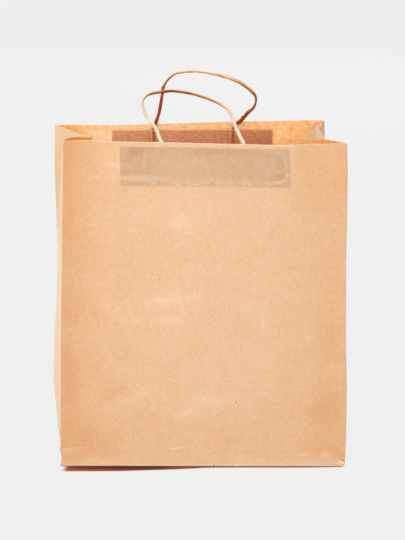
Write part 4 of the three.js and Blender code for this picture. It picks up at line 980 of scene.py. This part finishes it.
def make_ply(side, cover):
    marks = list(CORD_AT[side])
    a = np.array(sorted(set(spread(-PATCH_W / 2, PATCH_W / 2, 2.6, marks if cover else [], [0.7, 1.4, 2.1, 2.8, 3.5, 4.2, 5.0, 5.8, 6.6, 7.4, 8.4])) | {PATCH_W / 2}))
    b = np.linspace(-PATCH_H / 2, PATCH_H / 2, 26 if cover else 18)
    if side == "back":
        a = a[::-1]
    A, B = np.meshgrid(a, b)
    foot = PATCH_H / 2 - CORD_GLUED
    rise = np.zeros_like(A)
    if cover:
        for at in marks:
            rise += smooth_table(RIDGE, np.clip(A - at, -7, 7)) * step(foot - 11, foot - 1, B)
        rise += 0.12 * (1 + noise(A + 300, B, 18, 61 + len(side))) * step(0, 5, PATCH_W / 2 - np.abs(A)) * step(0, 4, PATCH_H / 2 - np.abs(B))
    near = (D_COVER if cover else D_BASE) + rise
    front_face = patch_point(side, A, B, near)
    back_face = patch_point(side, A, B, near + PATCH_T)
    q_out, q_in, q_rim = sheet_faces(*A.shape, False)
    name = side + ("_patch_cover_ply" if cover else "_patch_base_ply")
    obj = link(name, np.vstack([front_face.reshape(-1, 3), back_face.reshape(-1, 3)]), np.vstack([q_out, q_in, q_rim]), [PATCH_PAPER])
    uv = np.stack([A * MM, B * MM + (0.1 if cover else 0.3)], -1).reshape(-1, 2)
    set_uv(obj.data, "sheet", np.vstack([uv, uv + [0.0, 0.6]]))
    # the patch's cut edges pale: scuffed paper and a painted highlight
    pale = 0.30 * np.exp(-((PATCH_H / 2 - np.abs(B)) / 0.5) ** 2) + 0.25 * np.exp(-((PATCH_W / 2 - np.abs(A)) / 0.6) ** 2)
    ridge_shade = np.zeros_like(A)
    if cover:
        # each ridge over a cord: a thin painted highlight beside it, and painted shade over it and beside it
        for at, shift in zip(marks, (0.2, -0.5)):
            pale += 0.05 * np.exp(-((A - at + 2.4) / 0.9) ** 2) * step(foot - 11, foot - 1, B)
            ridge_shade += (step(-2.6, -1.1, A - at - shift) * step(-2.9, -1.1, shift + at - A) + 0.6 * np.exp(-((A - at + 5.0 - shift) / 0.9) ** 2)) * step(foot - 11, foot - 1, B)
    set_attribute(obj.data, "worn_and_highlight", np.concatenate([pale.ravel(), pale.ravel()]))
    # painted shade along the patch, deeper towards its right end, with some uneven colour
    shade_along_patch = np.clip(0.5 + 0.55 * A / (PATCH_W / 2) + 0.15 * noise(A + 300, B, 25, 63), 0, 1)
    set_attribute(obj.data, "shade_along_patch", np.concatenate([shade_along_patch.ravel(), shade_along_patch.ravel()]))
    ridge_shade = np.clip(ridge_shade, 0, 1)
    set_attribute(obj.data, "ridge_shade", np.concatenate([ridge_shade.ravel(), ridge_shade.ravel()]))
    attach(obj, "root")
    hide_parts(side + ("_patch_cover" if cover else "_patch_base"))
    return obj


for side in ("front", "back"):
    for cover in (False, True):
        make_ply(side, cover)

# ------------------------------------------------------------------ floor and light
floor_mesh = bpy.data.meshes.new("floor")
R = 26.0
floor_mesh.from_pydata([(-R, -R, 0), (R, -R, 0), (R, R, 0), (-R, R, 0)], [], [(0, 1, 2, 3)])
floor = bpy.data.objects.new("floor", floor_mesh)
floor.location.z = -0.0003
bpy.context.scene.collection.objects.link(floor)
fm = bpy.data.materials.new("pale_floor")
fm.use_nodes = True
nt = fm.node_tree
nt.nodes.clear()
out = nt.nodes.new("ShaderNodeOutputMaterial")
coord = nt.nodes.new("ShaderNodeNewGeometry")
sep = nt.nodes.new("ShaderNodeSeparateXYZ")
nt.links.new(coord.outputs["Position"], sep.inputs[0])


def inside_range(along, lo, hi, soft_edge):
    """1 between lo and hi of a coordinate, falling to 0 outside."""
    up = add(nt, "ShaderNodeMapRange")
    up.interpolation_type = "SMOOTHSTEP"
    up.inputs["From Min"].default_value, up.inputs["From Max"].default_value = lo - soft_edge, lo + soft_edge
    down = add(nt, "ShaderNodeMapRange")
    down.interpolation_type = "SMOOTHSTEP"
    down.inputs["From Min"].default_value, down.inputs["From Max"].default_value = hi + soft_edge, hi - soft_edge
    both = nt.nodes.new("ShaderNodeMath")
    both.operation = "MULTIPLY"
    for node in (up, down):
        nt.links.new(along, node.inputs["Value"])
    nt.links.new(up.outputs[0], both.inputs[0])
    nt.links.new(down.outputs[0], both.inputs[1])
    return both.outputs[0]


# a painted contact shadow on the floor beneath the raised front corner and the front edge of the base
painted_shadow = nt.nodes.new("ShaderNodeMath")
painted_shadow.operation = "MULTIPLY"
slant = nt.nodes.new("ShaderNodeMath")
slant.operation = "MULTIPLY_ADD"
nt.links.new(sep.outputs["Y"], slant.inputs[0])
slant.inputs[1].default_value = -0.10
nt.links.new(sep.outputs["X"], slant.inputs[2])
sideways = nt.nodes.new("ShaderNodeMath")
sideways.operation = "MULTIPLY"
nt.links.new(inside_range(slant.outputs[0], -0.1474, 1.0, 0.0042), sideways.inputs[0])
nt.links.new(inside_range(sep.outputs["X"], -1.0, 0.1592, 0.0012), sideways.inputs[1])
nt.links.new(sideways.outputs[0], painted_shadow.inputs[0])
# where the front of the painted shadow lies behind or before the front edge of the base, along X (mm)
STRIP = [(-170, -2.5), (-156, -2.5), (-124.5, -3.9), (-93, -4.5), (-61, -2.5), (-29.6, -0.6), (-13.8, 1.7), (2, 5.0), (17.8, 5.2), (49.4, 3.9), (96.7, 0.8), (128, -0.6), (153, 0.6), (170, 0.6)]
along_x = add(nt, "ShaderNodeMapRange")
along_x.inputs["From Min"].default_value, along_x.inputs["From Max"].default_value = -0.170, 0.170
nt.links.new(sep.outputs["X"], along_x.inputs["Value"])
strip = nt.nodes.new("ShaderNodeFloatCurve")
curve = strip.mapping.curves[0]
while len(curve.points) < len(STRIP):
    curve.points.new(0.5, 0.5)
for point, (x, y) in zip(curve.points, STRIP):
    point.location = ((x + 170) / 340, 0.5 + y / 20)
    point.handle_type = "VECTOR"
strip.mapping.update()
nt.links.new(along_x.outputs[0], strip.inputs["Value"])
askew = nt.nodes.new("ShaderNodeMath")
askew.operation = "MULTIPLY_ADD"
nt.links.new(strip.outputs[0], askew.inputs[0])
askew.inputs[1].default_value = -0.020
nt.links.new(sep.outputs["Y"], askew.inputs[2])
nt.links.new(inside_range(askew.outputs[0], -0.1100, 0.0850, 0.0015), painted_shadow.inputs[1])
shown = add(nt, "ShaderNodeEmission", Strength=1.0)
shown.inputs["Color"].default_value = (0.838, 0.838, 0.838, 1)
bounced = add(nt, "ShaderNodeEmission", Strength=1.0)
bounced.inputs["Color"].default_value = (0.40, 0.40, 0.40, 1)
glow = nt.nodes.new("ShaderNodeMixShader")
nt.links.new(nt.nodes.new("ShaderNodeLightPath").outputs["Is Camera Ray"], glow.inputs[0])
nt.links.new(bounced.outputs[0], glow.inputs[1])
nt.links.new(shown.outputs[0], glow.inputs[2])
matte = nt.nodes.new("ShaderNodeBsdfDiffuse")
matte.inputs["Color"].default_value = (0.022, 0.022, 0.022, 1)
both = nt.nodes.new("ShaderNodeAddShader")
nt.links.new(glow.outputs[0], both.inputs[0])
nt.links.new(matte.outputs[0], both.inputs[1])
dim_floor = nt.nodes.new("ShaderNodeBsdfDiffuse")
dim_glow = add(nt, "ShaderNodeEmission", Strength=1.0)
# the painted shadow is lighter towards its ends and darkest where the gap beneath the base is deepest: place along X
# (mm), brightness
STRIP_TINT = [(-154, 1.4), (-125, 0.95), (-90, 0.72), (-50, 0.7), (-20, 1.65), (160, 1.65)]
for node, plain in ((dim_floor, (0.30, 0.10, 0.055)), (dim_glow, (0.07, 0.017, 0.008))):
    tint = ramp(nt, along_x.outputs[0], [((x + 170) / 340, tuple(p * t for p in plain)) for x, t in STRIP_TINT])
    nt.links.new(tint, node.inputs["Color"])
dark_seen = nt.nodes.new("ShaderNodeAddShader")
nt.links.new(dim_floor.outputs[0], dark_seen.inputs[0])
nt.links.new(dim_glow.outputs[0], dark_seen.inputs[1])
base_light = add(nt, "ShaderNodeEmission", Strength=1.0)
base_light.inputs["Color"].default_value = (0.34, 0.34, 0.34, 1)
dark = nt.nodes.new("ShaderNodeMixShader")
nt.links.new(nt.nodes.new("ShaderNodeLightPath").outputs["Is Camera Ray"], dark.inputs[0])
nt.links.new(base_light.outputs[0], dark.inputs[1])
nt.links.new(dark_seen.outputs[0], dark.inputs[2])
pick = nt.nodes.new("ShaderNodeMixShader")
nt.links.new(painted_shadow.outputs[0], pick.inputs[0])
nt.links.new(both.outputs[0], pick.inputs[1])
nt.links.new(dark.outputs[0], pick.inputs[2])
clear = nt.nodes.new("ShaderNodeBsdfTransparent")
sides = nt.nodes.new("ShaderNodeMixShader")
nt.links.new(coord.outputs["Backfacing"], sides.inputs[0])
nt.links.new(pick.outputs[0], sides.inputs[1])
nt.links.new(clear.outputs[0], sides.inputs[2])
nt.links.new(sides.outputs[0], out.inputs["Surface"])
floor_mesh.materials.append(fm)

world = bpy.data.worlds.new("studio")
world.use_nodes = True
world.node_tree.nodes["Background"].inputs["Color"].default_value = (0.84, 0.84, 0.84, 1)
world.node_tree.nodes["Background"].inputs["Strength"].default_value = 0.84
bpy.context.scene.world = world


def area_light(name, place, aim, size, watts):
    data = bpy.data.lights.new(name, "AREA")
    data.shape = "DISK"
    data.size = size
    data.energy = watts
    obj = bpy.data.objects.new(name, data)
    obj.location = place
    obj.rotation_euler = (Vector(aim) - Vector(place)).to_track_quat("-Z", "Y").to_euler()
    bpy.context.scene.collection.objects.link(obj)
    return obj


area_light("key", (-2.2, -3.2, 1.5), (0, 0, 0.2), 2.0, 66)
area_light("fill", (2.0, -3.2, 1.3), (0, 0, 0.2), 2.2, 50)
area_light("side_left", (-3.2, -0.6, 1.0), (0, 0, 0.2), 1.6, 32)
area_light("side_right", (3.2, -0.6, 1.0), (0, 0, 0.2), 1.6, 24)
area_light("top", (-0.2, -0.9, 2.6), (0, 0, 0.3), 1.4, 20)
area_light("behind", (0.9, 3.4, 1.2), (0, 0, 0.15), 2.2, 46)

view = bpy.context.scene.view_settings
view.view_transform = "Standard"
view.look = "None"
view.exposure = 0.0
view.gamma = 1.0
